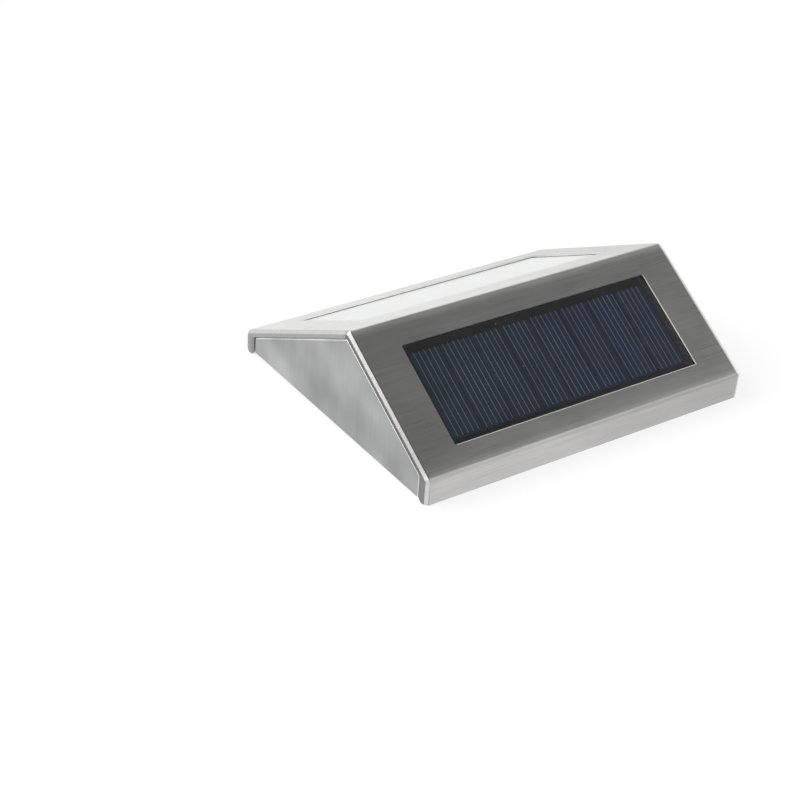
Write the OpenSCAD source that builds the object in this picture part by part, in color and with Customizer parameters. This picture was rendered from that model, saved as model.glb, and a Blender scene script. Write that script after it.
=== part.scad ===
// Solar light for a fence or a wall, lying on its back as it does on a table.
// X runs along the ridge, the slope with the solar panel faces -Y, the slope with the lamps faces +Y,
// and the back that goes against the fence is at the bottom. All lengths are in millimetres.

/* [Cover] */
// Length of the steel cover along its ridge
cover_w = 126; // [122:1:140]
// Depth of the cover from lip to lip
cover_d = 104; // [102:1:114]
// Height at which the two slopes would meet
apex_h = 36.5; // [35.5:0.5:44]
// Distance from the front lip to the ridge
ridge_from_front = 44.9; // [44:0.1:48]
// Height at which the front lip meets its slope
front_lip_h = 8.8; // [8.4:0.1:10]
// Height at which the rear lip meets its slope
rear_lip_h = 7; // [6.8:0.1:8.4]
// Thickness of the steel sheet
sheet_t = 0.6; // [0.5:0.05:0.8]
// Outer radius of the bends at the ridge and the lips
bend_r = 1.8; // [1.6:0.1:2.4]
// Outer radius of the fold round each end
end_bend_r = 1.4; // [1:0.1:1.5]
// Width of the end flange along the slopes
end_flange_w = 2.3; // [2:0.1:3]
// Width of the end flange along the front lip
front_flange_w = 4; // [3.4:0.1:4.4]
// Width of the end flange along the rear lip
rear_flange_w = 5.3; // [4:0.1:5.6]
// Radius of the flange's lower inner corners
flange_foot_r = 2.2; // [1.6:0.1:2.8]
// Radius of the flange's lower outer corner at the front
front_tip_r = 0.4; // [0.2:0.1:1.5]
// Radius of the flange's lower outer corner at the rear
rear_tip_r = 1.6; // [0.2:0.1:1.8]
// Corner radius of the two windows
window_r = 0.6; // [0.4:0.1:1.5]

/* [Side plates] */
// How far each plate's face lies behind the end flange's face
plate_recess = 0.15; // [0.05:0.05:1.2]
// Depth of the plate with its rounded rim
plate_depth = 1.85; // [1.1:0.05:2.2]
// Outer radius of the plate's rim
plate_rim_r = 0.9; // [0.7:0.05:1]
// Gap round the plate inside the flange
plate_gap = 0.2; // [0.1:0.05:0.3]
// Height of the plate's lower edge at the front
plate_lift_front = 0.7; // [0.4:0.1:1.2]
// Height of the plate's lower edge at the rear
plate_lift_rear = 1.6; // [0.4:0.1:2.2]

/* [Solar panel] */
// Distance of the panel's window from each end of the cover
panel_border = 14.6; // [14:0.1:18]
// Distance from the ridge down to the panel's window
panel_window_from = 9.3; // [9:0.1:11]
// Distance of the panel's window from the front lip, up the slope
panel_lip_border = 7.85; // [7.8:0.05:9.2]
// Overlap of the panel behind the cover, each side
panel_margin = 2.4; // [2:0.1:2.6]
// Thickness of the clear resin
resin_t = 0.8; // [0.5:0.1:1]
// Thickness of a cell
cell_t = 0.2; // [0.15:0.05:0.3]
// Thickness of the panel's board
panel_board_t = 1.2; // [0.8:0.1:1.4]
// Number of cells side by side
cell_count = 8; // [4:1:8]
// Distance of the row of cells from each end of the window
cell_side_gap = 1.8; // [1.7:0.1:5]
// Gap between one cell and the next
cell_gap = 0.55; // [0.3:0.05:3]
// Distance of the cells from the window's two long edges
cell_end_gap = 2.8; // [2.4:0.1:6]
// Shift of the cells along the window from its middle
cell_shift_x = -0.7; // [-1:0.1:1]
// Shift of the cells down the slope from the window's middle
cell_shift_y = 0.4; // [-1:0.1:1]

/* [Lamp window] */
// Distance of the lamp window from each end of the cover
lens_border = 13.8; // [13.5:0.1:17]
// Distance from the ridge down to the lamp window
lens_window_from = 14; // [13:0.1:16]
// Distance of the lamp window from the rear lip, up the slope
lens_lip_border = 10.35; // [10.05:0.05:13]
// Overlap of the lens behind the cover, each side
lens_margin = 2.4; // [2:0.1:2.6]
// Thickness of the lens
lens_t = 2; // [1.5:0.1:2.4]
// Thickness of the foam tape under the cover
tape_t = 0.2; // [0.1:0.05:0.4]
// How far the tape stays back from the window's edge
tape_back = 0.4; // [0.2:0.1:0.8]
// Depth of the reflector under its rim
reflector_depth = 7.6; // [6.5:0.1:8]
// Thickness of the reflector's rim and walls
reflector_t = 0.9; // [0.8:0.1:1]
// How far the reflector's end walls lean in
reflector_lean = 6.2; // [5.2:0.1:9.2]
// Width of the reflector's floor
reflector_floor_h = 12; // [11:0.5:14]
// Distance from one lamp to the next
led_pitch = 28; // [22:1:34]
// Radius of a lamp's body
led_r = 2.4; // [2:0.1:2.4]
// Radius of a lamp's foot
led_foot_r = 2.8; // [2.6:0.1:3]
// Height of a lamp's foot
led_foot_h = 0.9; // [0.6:0.1:1.2]
// Height of a lamp over its board
led_h = 5.2; // [5:0.1:5.6]
// How far the lamp board reaches past the reflector's floor at each end
led_board_side = 3; // [0.5:0.5:4]
// Width of the lamp board
led_board_h = 12; // [10:0.5:12.5]

/* [Housing] */
// Thickness of the moulded walls
wall_t = 1.6; // [1.2:0.1:1.8]
// Gap between the housing and the steel
fit_gap = 0.15; // [0.1:0.05:0.3]
// Gap round the panel and the lens in their pockets
pocket_gap = 0.2; // [0.1:0.05:0.3]
// Width of the ledge round a pocket's floor
ledge_w = 5; // [3:0.5:7]
// Outer radius of a screw boss
boss_r = 3.6; // [3.4:0.1:3.8]
// Distance of a boss from the cover's lip
boss_from_lip = 6.6; // [6.4:0.1:7.4]

/* [Back plate] */
// Height of the back plate's face over the lips' edges
back_recess = 0.8; // [0.5:0.1:1]
// Thickness of the back plate
back_t = 2; // [1.9:0.1:2.2]
// Gap between the back plate and the cover's lips
back_gap = 0.3; // [0.2:0.1:0.6]
// Thickness of the rubber seal under the housing
seal_t = 0.6; // [0.5:0.1:0.8]
// Radius of a keyhole's round end
keyhole_r = 4; // [3.8:0.1:4.5]
// Width of a keyhole's slot
keyhole_slot_w = 4; // [3.6:0.1:4.2]
// Length of a keyhole's slot from the round end's middle
keyhole_slot_l = 7; // [6:0.5:8]
// Distance between the two upper keyholes
keyhole_spacing = 84; // [76:1:88]
// Distance of the upper keyholes from the front lip
keyhole_from_front = 16; // [15:0.5:18]
// Distance of the lower keyhole from the rear lip
keyhole_from_rear = 18; // [17:0.5:20]
// Radius of a back screw's head
screw_head_r = 2; // [1.8:0.1:2.2]
// Height of a back screw's head
screw_head_h = 1.1; // [0.9:0.1:1.2]
// Radius of a back screw's shank
screw_r = 1.1; // [0.9:0.05:1.2]
// Length of a back screw under its head
screw_l = 5; // [4:0.1:5.2]

/* [Battery] */
// Diameter of a cell
battery_d = 10.5; // [10:0.1:10.5]
// Length of a cell with its button
battery_l = 44.5; // [43:0.1:44.5]
// Radius of the button
battery_button_r = 1.9; // [1.5:0.1:2.2]
// Height of the button
battery_button_h = 1; // [0.8:0.1:1.4]
// Gap round each cell in its bay
battery_gap = 0.25; // [0.2:0.05:0.4]
// Length of a contact spring
spring_l = 4.7; // [4.2:0.1:5.5]
// Radius of a contact spring at its plate
spring_base_r = 3.4; // [3:0.1:3.8]
// Radius of a contact spring at the cell
spring_tip_r = 2.2; // [1.8:0.1:2.6]
// Thickness of the spring's wire
spring_wire_d = 0.6; // [0.4:0.05:0.7]
// Number of turns of the spring
spring_turns = 3.5; // [2.5:0.5:3.5]
// Thickness of a contact plate
contact_t = 0.4; // [0.3:0.05:0.5]
// Width of a contact plate
contact_w = 8; // [7:0.5:9]
// Height of a contact plate
contact_h = 8; // [7:0.5:9]
// Height of a contact plate's raised dot
contact_dot_h = 0.8; // [0.5:0.1:1]
// Width of a contact plate's tail
tail_w = 3; // [2:0.5:4]

/* [Battery door] */
// Overlap of the door round the bay
door_margin = 2.8; // [2.6:0.1:3.2]
// Thickness of the door
door_t = 1.4; // [1.2:0.1:1.4]
// Gap round the door
door_gap = 0.3; // [0.25:0.05:0.4]
// Radius of a hinge pin
door_pin_r = 0.5; // [0.4:0.05:0.55]
// Length of a hinge pin
door_pin_l = 1.1; // [0.9:0.1:1.2]
// Running gap round a hinge pin
door_pin_gap = 0.05; // [0.03:0.01:0.08]
// Width of the finger notch
door_notch_w = 14; // [10:1:20]
// Depth of the finger notch
door_notch_d = 3; // [2:0.5:4]
// Length of a snap bead on the door's free edge
snap_l = 6; // [4:1:10]
// Radius of a snap bead
snap_r = 0.4; // [0.3:0.05:0.5]
// Gap between a snap bead and the wall
snap_gap = 0.1; // [0.05:0.05:0.15]

/* [Switch] */
// Length of the switch's frame
switch_w = 8.6; // [8:0.1:9]
// Width of the switch's frame
switch_d = 3.8; // [3.6:0.1:4.4]
// Height of the switch's frame
switch_h = 3.4; // [3.2:0.1:3.8]
// Thickness of the frame's sheet
switch_sheet_t = 0.3; // [0.2:0.05:0.4]
// Travel of the knob
switch_travel = 2; // [1.5:0.1:2.2]
// Length of the knob along its travel
knob_w = 1.6; // [1.4:0.1:1.8]
// Width of the knob
knob_d = 1.6; // [1.4:0.1:1.8]
// Gap round the knob
knob_gap = 0.25; // [0.2:0.05:0.3]

/* [Control board] */
// Gap between the control board and the housing's side
board_side_gap = 1.9; // [1.5:0.1:3]
// Width of the control board
board_d = 30; // [27:1:31]
// Thickness of the circuit boards
board_t = 1.2; // [1:0.1:1.6]
// Gap between the battery case and the board
board_gap = 3.2; // [3:0.1:3.6]
// Thickness of a wire with its insulation
wire_d = 1.2; // [0.8:0.1:1.4]

/* [Hidden] */

// Overrun of every cut past the face it opens
overrun = 1;
// Smallest radius, and the thinnest slice of a rounded end
fine = 0.02;
// Steps in a quarter of a small bend, and sides of a round part
bend_steps = 5;
$fn = 48;

// The flat stretches of the bent sheet, from lip to lip: direction of the normal, distance from the origin
ridge_y = ridge_from_front - cover_d / 2;
front_slope = atan2(apex_h - front_lip_h, ridge_from_front);
rear_slope = atan2(apex_h - rear_lip_h, cover_d - ridge_from_front);
function away(a) = cos(a) * ridge_y + sin(a) * apex_h;
faces = [[180, cover_d / 2], [90 + front_slope, away(90 + front_slope)],
    [90 - rear_slope, away(90 - rear_slope)], [0, cover_d / 2]];

// The two windows, and what lies behind them
panel_window_w = cover_w - 2 * panel_border;
panel_window_to = norm([ridge_from_front, apex_h - front_lip_h]) - panel_lip_border;
lens_window_w = cover_w - 2 * lens_border;
lens_window_to = norm([cover_d - ridge_from_front, apex_h - rear_lip_h]) - lens_lip_border;
cell_pitch = (panel_window_w - 2 * cell_side_gap) / cell_count;
cell_w = cell_pitch - cell_gap;
cell_h = panel_window_to - panel_window_from - 2 * cell_end_gap;
reflector_floor_w = lens_window_w - 2 * reflector_lean;
led_board_w = reflector_floor_w + 2 * led_board_side;

// Places that several pieces share
housing_w = cover_w - 2 * (plate_recess + plate_depth + plate_gap);
back_top = back_recess + back_t;
rim_z = back_top + seal_t;
under_sheet = sheet_t + tape_t;
panel_depth = under_sheet + resin_t + cell_t + panel_board_t;
lens_depth = under_sheet + lens_t + reflector_t;
panel_mid = (panel_window_from + panel_window_to) / 2;
lens_mid = (lens_window_from + lens_window_to) / 2;
led_board_top = lens_depth + reflector_depth + pocket_gap;
boss_x = housing_w / 2 - wall_t - boss_r + 2 * fine;
boss_y = cover_d / 2 - boss_from_lip;

// Points on the two slopes: along the ridge, down the slope, and inwards from the cover's face
function front_point(x, down, inside) = [x, ridge_y - down * cos(front_slope) + inside * sin(front_slope),
    apex_h - down * sin(front_slope) - inside * cos(front_slope)];
function rear_point(x, down, inside) = [x, ridge_y + down * cos(rear_slope) - inside * sin(rear_slope),
    apex_h - down * sin(rear_slope) - inside * cos(rear_slope)];
front_inwards = [0, sin(front_slope), -cos(front_slope)];
rear_inwards = [0, -sin(rear_slope), -cos(rear_slope)];

// Where two of the flat stretches meet, each moved inwards
function meet(a, b) = let (k = sin(b[0] - a[0]))
    [(a[1] * sin(b[0]) - b[1] * sin(a[0])) / k, (b[1] * cos(a[0]) - a[1] * cos(b[0])) / k];
function bend(i, insets, r) = let (
        a = faces[i] - [0, insets[i] + r],
        b = faces[i + 1] - [0, insets[i + 1] + r],
        c = meet(a, b))
    [for (k = [0:bend_steps]) let (turn = a[0] + (b[0] - a[0]) * k / bend_steps)
        c + r * [cos(turn), sin(turn)]];
function bends(insets, r) = concat(bend(0, insets, r), bend(1, insets, r), bend(2, insets, r));
function outline(insets, r, foot) = concat([[insets[0] - cover_d / 2, foot]], bends(insets, r),
    [[cover_d / 2 - insets[3], foot]]);
function even(inset) = [inset, inset, inset, inset];

// The same outline with its two lower corners rounded
function tip(side, inset, r) = [for (k = [0:bend_steps]) let (turn = 90 * k / bend_steps)
    [side * (cover_d / 2 - inset - r * (1 - sin(turn))), r * (1 - cos(turn))]];
function tipped_outline(inset, r, tips) = concat(tip(-1, inset, tips[0]), bends(even(inset), r),
    tip(1, inset, tips[1]));

// The opening in each end, whose lower corners follow the flange's rounded feet
flange_insets = [front_flange_w, end_flange_w, end_flange_w, rear_flange_w];
function foot_arc(side, w) = let (c = [side * (cover_d / 2 - w + flange_foot_r), flange_foot_r])
    [for (k = [0:bend_steps]) let (turn = 90 * k / bend_steps)
        c + flange_foot_r * [-side * cos(turn), -sin(turn)]];
function reversed(v) = [for (i = [len(v) - 1:-1:0]) v[i]];
front_foot = foot_arc(-1, front_flange_w);
rear_foot = foot_arc(1, rear_flange_w);
function end_opening() = concat([front_foot[bend_steps] - [0, overrun]], reversed(front_foot),
    bends(flange_insets, fine), rear_foot, [rear_foot[bend_steps] - [0, overrun]]);

// A rectangle with round corners, its middle at the origin
function rounded(w, h, r) = [for (q = [0:3], k = [0:bend_steps])
    let (turn = 90 * (q + k / bend_steps), sx = (q == 0 || q == 3) ? 1 : -1, sy = q < 2 ? 1 : -1)
    [sx * (w / 2 - r) + r * cos(turn), sy * (h / 2 - r) + r * sin(turn)]];

module across_x(w) rotate([90, 0, 90]) linear_extrude(w) children();
module centred_x(w) translate([-w / 2, 0, 0]) across_x(w) children();

// Both frames have y down the slope from the ridge and z outwards from the cover's face
module on_front() translate([0, ridge_y, apex_h]) rotate([front_slope, 0, 0]) mirror([0, 1, 0]) children();
module on_rear() translate([0, ridge_y, apex_h]) rotate([-rear_slope, 0, 0]) children();

// A flat layer under the cover: its length, where it starts and ends down the slope, its depth and thickness
module layer(w, from, to, depth, t) translate([-w / 2, from, -depth - t]) cube([w, to - from, t]);
module frame_layer(w, from, to, rim, depth, t) difference() {
    layer(w + 2 * rim, from - rim, to + rim, depth, t);
    layer(w, from, to, depth - overrun, t + 2 * overrun);
}
module window(w, from, to) translate([0, (from + to) / 2, -under_sheet - overrun])
    linear_extrude(under_sheet + 2 * overrun) polygon(rounded(w, to - from, window_r));

// Bent steel cover

// Each slice of the fold round an end: how far it steps in, and how far it lies from the middle
function step_in(inset, turn) = inset + (end_bend_r - inset) * (1 - sin(turn));
function slice_x(inset, turn) = cover_w / 2 - inset - (end_bend_r - inset) * (1 - cos(turn)) - fine / 2;
module slices(inset) for (side = [-1, 1], k = [0:bend_steps]) {
    $turn = 90 * k / bend_steps;
    translate([side * slice_x(inset, $turn), 0, 0]) centred_x(fine) children();
}
module wedge() hull() slices(0) {
    inset = step_in(0, $turn);
    tips = [for (r = [front_tip_r, rear_tip_r]) max(r * (1 - sin($turn)), fine)];
    polygon(tipped_outline(inset, max(bend_r - inset, fine), tips));
}
module hollow() hull() slices(sheet_t) {
    inset = step_in(sheet_t, $turn);
    polygon(outline(even(inset), max(bend_r - inset, fine), -overrun));
}

module cover() color("silver") difference() {
    wedge();
    hollow();
    centred_x(cover_w + 2 * overrun) polygon(end_opening());
    on_front() window(panel_window_w, panel_window_from, panel_window_to);
    on_rear() window(lens_window_w, lens_window_from, lens_window_to);
}

// Side plates, each a shallow dish whose rounded rim turns inwards inside the end flange

plate_insets = flange_insets + even(plate_gap);
half_share = 0.5;

function plate_foot(y) =
    plate_lift_front + (plate_lift_rear - plate_lift_front) * (y / cover_d + half_share);
module plate_outline(rim_in, drop) {
    insets = plate_insets + even(rim_in);
    ends = [insets[0] - cover_d / 2, cover_d / 2 - insets[3]];
    polygon(concat([[ends[0], plate_foot(ends[0]) - drop]], bends(insets, plate_rim_r),
        [[ends[1], plate_foot(ends[1]) - drop]]));
}
module side_plate() translate([plate_recess - cover_w / 2, 0, 0]) difference() {
    hull() {
        for (k = [0:bend_steps]) {
            turn = 90 * k / bend_steps;
            translate([plate_rim_r * (1 - cos(turn)), 0, 0])
                across_x(fine) plate_outline(plate_rim_r * (1 - sin(turn)), 0);
        }
        translate([plate_depth - fine, 0, 0]) across_x(fine) plate_outline(0, 0);
    }
    translate([sheet_t, 0, 0]) across_x(plate_depth) plate_outline(sheet_t, overrun);
}

module side_plate_left() color("gray") side_plate();
module side_plate_right() color("gray") mirror([1, 0, 0]) side_plate();

// Moulded housing with a pocket in each slope, and a boss in each corner

panel_in = panel_margin + pocket_gap;
lens_in = lens_margin + pocket_gap;

module pocket(w, from, to, rim, depth)
    layer(w + 2 * rim, from - rim, to + rim, sheet_t - overrun, depth - sheet_t + overrun);

module housing_shell() {
    difference() {
        centred_x(housing_w) polygon(outline(even(sheet_t + fit_gap), bend_r - sheet_t - fit_gap, rim_z));
        centred_x(housing_w - 2 * wall_t)
            polygon(outline(even(sheet_t + fit_gap + wall_t), fine, rim_z - overrun));
    }
    on_front()
        pocket(panel_window_w, panel_window_from, panel_window_to, panel_in + wall_t, panel_depth + wall_t);
    on_rear() pocket(lens_window_w, lens_window_from, lens_window_to, lens_in + wall_t, lens_depth + wall_t);
    for (sx = [-1, 1], sy = [-1, 1]) translate([sx * boss_x, sy * boss_y, back_top])
        cylinder(h = apex_h, r = boss_r);
}

module housing() color("dimgray") difference() {
    intersection() {
        housing_shell();
        centred_x(housing_w) polygon(outline(even(sheet_t + fit_gap), bend_r - sheet_t - fit_gap, back_top));
    }
    on_front() {
        pocket(panel_window_w, panel_window_from, panel_window_to, panel_in, panel_depth);
        layer(panel_window_w + 2 * (panel_in - ledge_w), panel_window_from - panel_in + ledge_w,
            panel_window_to + panel_in - ledge_w, panel_depth - overrun, wall_t + 2 * overrun);
    }
    on_rear() {
        pocket(lens_window_w, lens_window_from, lens_window_to, lens_in, lens_depth);
        layer(lens_window_w, lens_window_from, lens_window_to, lens_depth - overrun, wall_t + 2 * overrun);
    }
    for (sx = [-1, 1], sy = [-1, 1]) translate([sx * boss_x, sy * boss_y, back_top - overrun])
        cylinder(h = screw_l + screw_head_h + overrun - back_t + fit_gap, r = screw_r + fine);
}

// Battery bay, its cells and contacts. The front cell's button points to +X, the rear cell's to -X.

bay_w = battery_l + spring_l + contact_dot_h + 2 * contact_t;
bay_d = 2 * battery_d + 3 * battery_gap;
bay_z = back_recess + door_t + 2 * door_gap;
bay_top = bay_z + battery_d + 2 * battery_gap;
battery_z = bay_top - battery_gap - battery_d / 2;
battery_step = (battery_d + battery_gap) / 2;
contact_x = bay_w / 2 - contact_t;
tail_top = bay_top + wall_t + 2 * contact_t;

module at_bay() translate([0, ridge_y, 0]) children();

module battery() translate([contact_x - contact_dot_h, 0, battery_z]) rotate([0, -90, 0]) {
    cylinder(h = battery_button_h, r = battery_button_r);
    translate([0, 0, battery_button_h]) cylinder(h = battery_l - battery_button_h, r = battery_d / 2);
}
module battery_front() color("seagreen") at_bay() translate([0, -battery_step, 0]) battery();
module battery_rear() color("seagreen") at_bay() rotate([0, 0, 180])
    translate([0, -battery_step, 0]) battery();

module contact_dot(x, side) translate([x, 0, battery_z]) rotate([0, -90 * side, 0])
    cylinder(h = contact_dot_h, r = battery_button_r);
module contact_sheet(w, h) translate([contact_x, -w / 2, battery_z - contact_h / 2]) cube([contact_t, w, h]);

// The strap joins the two cells at their left ends
module contact_strap() color("lightgray") at_bay() rotate([0, 0, 180]) {
    contact_sheet(2 * battery_step + contact_w, contact_h);
    translate([0, -battery_step, 0]) contact_dot(contact_x, 1);
}
module contact_tail() contact_sheet(tail_w, tail_top - battery_z + contact_h / 2);
module contact_plus() color("lightgray") at_bay() translate([0, -battery_step, 0]) {
    contact_sheet(contact_w, contact_h);
    contact_tail();
    contact_dot(contact_x, 1);
}
module contact_minus() color("lightgray") at_bay() translate([0, battery_step, 0]) {
    contact_sheet(contact_w, contact_h);
    contact_tail();
}

// A round wire along a list of points, turning as little as it can
steep_share = 0.9;
function unit(v) = v / norm(v);
function along(p, i) = unit(p[min(i + 1, len(p) - 1)] - p[max(i - 1, 0)]);
function sideways(p, i = 0, done = []) = i == len(p) ? done : let (
        t = along(p, i),
        start = abs(t[0]) < steep_share ? [1, 0, 0] : [0, 1, 0],
        last = i == 0 ? start : done[i - 1])
    sideways(p, i + 1, concat(done, [unit(last - (last * t) * t)]));
module wire(p, d, sides) {
    across = sideways(p);
    rings = len(p);
    polyhedron(
        points = [for (i = [0:rings - 1], j = [0:sides - 1])
            let (a = 360 * j / sides, n = across[i], b = cross(along(p, i), n))
            p[i] + d / 2 * (cos(a) * n + sin(a) * b)],
        faces = concat(
            [for (i = [0:rings - 2], j = [0:sides - 1]) let (k = (j + 1) % sides)
                [i * sides + j, (i + 1) * sides + j, i * sides + k]],
            [for (i = [0:rings - 2], j = [0:sides - 1]) let (k = (j + 1) % sides)
                [i * sides + k, (i + 1) * sides + j, (i + 1) * sides + k]],
            [for (j = [1:sides - 2]) [0, j, j + 1]],
            [for (j = [1:sides - 2]) let (last = (rings - 1) * sides) [last, last + j + 1, last + j]]));
}

// Contact spring, wound as a cone from its plate to the cell's flat end
spring_rings = 12;
spring_path = let (rings = spring_rings * spring_turns, run = spring_l - spring_wire_d - fine)
    [for (i = [0:rings]) let (
            part = i / rings,
            r = spring_base_r + (spring_tip_r - spring_base_r) * part,
            turn = 360 * spring_turns * part)
        [contact_x - (spring_wire_d + fine) / 2 - run * part, r * cos(turn), battery_z + r * sin(turn)]];
spring_self_gap = min([for (i = [0:len(spring_path) - 1], j = [0:len(spring_path) - 1])
    if (j > i + spring_rings / 2) norm(spring_path[i] - spring_path[j])]) - spring_wire_d;
echo(spring_self_gap = spring_self_gap);

module spring() translate([0, battery_step, 0]) wire(spring_path, spring_wire_d, 6);
module spring_right() color("lightgray") at_bay() spring();
module spring_left() color("lightgray") at_bay() rotate([0, 0, 180]) spring();

// Battery door, hung on two pins at its front edge, with snap beads on its free edge

door_bottom = back_recess + door_gap / 2;
door_top = door_bottom + door_t;
door_w = bay_w + 2 * door_margin;
door_front = ridge_y - bay_d / 2 - door_margin;
door_rear = ridge_y + bay_d / 2 + door_margin;
hinge_z = door_bottom + door_t / 2;
hinge_room = door_t / 2 + door_gap;
door_seal_t = back_top - snap_gap - door_top;
door_seal_w = door_margin / 2;

module rod_x(l, r) translate([-l / 2, 0, 0]) rotate([0, 90, 0]) cylinder(h = l, r = r);

module battery_door() color("dimgray") {
    difference() {
        translate([-door_w / 2, door_front, door_bottom]) cube([door_w, door_rear - door_front, door_t]);
        translate([0, door_rear, door_bottom]) rotate([90, 0, 0]) cylinder(h = door_notch_d, r = door_t / 2);
    }
    translate([0, door_front, hinge_z]) rod_x(door_w, door_t / 2);
    translate([0, door_front, hinge_z]) rod_x(door_w + 2 * door_pin_l, door_pin_r);
    for (side = [-1, 1])
        translate([side * door_w / 4, door_rear + door_gap - snap_gap - snap_r, hinge_z])
            rod_x(snap_l, snap_r);
}

// The seal sits on the door, inside its edge and round the bay
module door_seal() color("black") at_bay() translate([0, 0, door_top]) linear_extrude(door_seal_t)
    difference() {
        square([bay_w + 2 * door_seal_w, bay_d + 2 * door_seal_w], center = true);
        square([bay_w + door_gap, bay_d + door_gap], center = true);
    }

// Back plate with the door's opening, the keyholes and the switch's slot. The board beside the battery case
// reaches up to the housing's side, and stands on two posts of the case.

board_left = bay_w / 2 + door_margin + door_gap + wall_t + board_gap;
board_w = housing_w / 2 - wall_t - board_side_gap - board_left;
board_x = board_left + board_w / 2;
board_y = ridge_y;
board_z = back_top + fit_gap + switch_h;
function on_board(share) = [board_x + share[0] * board_w, board_y + share[1] * board_d];
switch_place_share = [0, 0];
post_place_shares = [[-0.38, -0.42], [0.38, 0.42]];
chip_place_share = [0.05, -0.2];
choke_place_share = [0, 0.2];
capacitor_place_share = [0.3, -0.36];
panel_pad_shares = [[-0.24, -0.4], [-0.06, -0.4]];
battery_pad_shares = [[-0.42, -0.18], [-0.42, 0.08]];
lamp_pad_shares = [[-0.38, 0.42], [-0.26, 0.42]];
post_r = 2.4;
post_screw_r = 0.8;
post_head_r = 1.8;
post_head_h = 1;
keyhole_places = [[-keyhole_spacing / 2, keyhole_from_front - cover_d / 2],
    [keyhole_spacing / 2, keyhole_from_front - cover_d / 2], [0, cover_d / 2 - keyhole_from_rear]];
switch_dish_w = 12;
switch_dish_d = 8;
switch_dish_r = 3;
switch_dish_share = 0.4;
knob_slot_w = knob_w + switch_travel + 2 * knob_gap;

module at_switch() translate(concat(on_board(switch_place_share), [0])) children();
module box(w, d, z0, z1) translate([-w / 2, -d / 2, z0]) cube([w, d, z1 - z0]);

// The space that the door fills with its gaps, or that space with a wall round it
module door_space(wall, z0, z1) {
    w = door_w + 2 * (door_gap + wall);
    d = door_rear - door_front + hinge_room + door_gap + 2 * wall;
    translate([-w / 2, door_front - hinge_room - wall, z0]) cube([w, d, z1 - z0]);
}

module back_plate() color("dimgray") difference() {
    box(housing_w, cover_d - 2 * (sheet_t + back_gap), back_recess, back_top);
    door_space(0, 0, back_top + overrun);
    translate([0, door_front, hinge_z])
        rod_x(door_w + 2 * (door_gap + door_pin_l), door_pin_r + door_pin_gap);
    translate([0, door_rear, 0]) linear_extrude(back_recess + door_t) polygon(
        rounded(door_notch_w, 2 * (door_notch_d + door_gap), door_notch_d));
    for (place = keyhole_places) translate(concat(place, [0])) {
        cylinder(h = back_top + overrun, r = keyhole_r);
        translate([0, -keyhole_slot_l, 0]) cylinder(h = back_top + overrun, r = keyhole_slot_w / 2);
        translate([0, -keyhole_slot_l / 2, 0]) box(keyhole_slot_w, keyhole_slot_l, 0, back_top + overrun);
    }
    for (sx = [-1, 1], sy = [-1, 1]) translate([sx * boss_x, sy * boss_y, 0]) {
        cylinder(h = back_top + overrun, r = screw_r + fit_gap);
        cylinder(h = back_recess + screw_head_h, r = screw_head_r + fit_gap);
    }
    at_switch() {
        linear_extrude(back_recess + back_t * switch_dish_share)
            polygon(rounded(switch_dish_w, switch_dish_d, switch_dish_r));
        box(knob_slot_w, knob_d + 2 * knob_gap, 0, back_top + overrun);
    }
}

// Battery case on the back plate's inner face, with a flange round the door's opening, slots for the tails,
// and two arms that end in the posts for the board
module post_arm(place) {
    start = bay_w / 2 + wall_t;
    translate([start, place[1] - post_r, back_top]) cube([place[0] - start, 2 * post_r, wall_t]);
    translate(concat(place, [back_top])) cylinder(h = board_z - back_top, r = post_r);
}
module battery_case() color("dimgray") difference() {
    union() {
        door_space(wall_t, back_top, back_top + wall_t);
        at_bay() box(bay_w + 2 * wall_t, bay_d + 2 * wall_t, back_top, bay_top + wall_t);
        for (share = post_place_shares) post_arm(on_board(share));
    }
    for (share = post_place_shares) translate(concat(on_board(share), [back_top - overrun]))
        cylinder(h = board_z, r = post_screw_r + fine);
    at_bay() {
        box(bay_w, bay_d, 0, bay_top);
        for (sy = [-1, 1]) translate([contact_x - contact_t / 2, sy * battery_step, 0])
            box(3 * contact_t, tail_w + 2 * fit_gap, bay_top - overrun, tail_top + overrun);
    }
}

module back_seal() color("black") translate([0, 0, back_top]) linear_extrude(seal_t) difference() {
    square([housing_w - fit_gap, cover_d - 2 * (sheet_t + back_gap)], center = true);
    square([housing_w - 2 * wall_t + fit_gap, cover_d - 2 * (sheet_t + wall_t)], center = true);
}

// A pan-headed screw with a cross recess in its head, point upwards
module cross_screw(head_r, head_h, shank_r, l) {
    difference() {
        cylinder(h = head_h, r = head_r);
        for (turn = [0, 90]) rotate([0, 0, turn]) box(head_r, head_r / 4, -overrun, head_h / 2);
    }
    translate([0, 0, head_h]) {
        cylinder(h = l - shank_r, r = shank_r);
        translate([0, 0, l - shank_r]) cylinder(h = shank_r, r1 = shank_r, r2 = shank_r / 4);
    }
}
module back_screws() color("silver") for (sx = [-1, 1], sy = [-1, 1])
    translate([sx * boss_x, sy * boss_y, back_recess])
        cross_screw(screw_head_r, screw_head_h, screw_r, screw_l);

// Solar panel, from the foam tape inwards

module panel_tape() color("black") on_front() frame_layer(panel_window_w + 2 * tape_back,
    panel_window_from - tape_back, panel_window_to + tape_back, panel_margin - tape_back, sheet_t, tape_t);
module panel_layer(depth, t) layer(panel_window_w + 2 * panel_margin, panel_window_from - panel_margin,
    panel_window_to + panel_margin, depth, t);
module panel_resin() color("lightblue", 0.4) on_front() panel_layer(under_sheet, resin_t);
module solar_cells() color("midnightblue") on_front() for (i = [0:cell_count - 1])
    translate([cell_shift_x + (i - (cell_count - 1) / 2) * cell_pitch, panel_mid + cell_shift_y, 0])
        layer(cell_w, -cell_h / 2, cell_h / 2, under_sheet + resin_t, cell_t);
module panel_board() color("darkslategray") on_front()
    panel_layer(under_sheet + resin_t + cell_t, panel_board_t);

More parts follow.
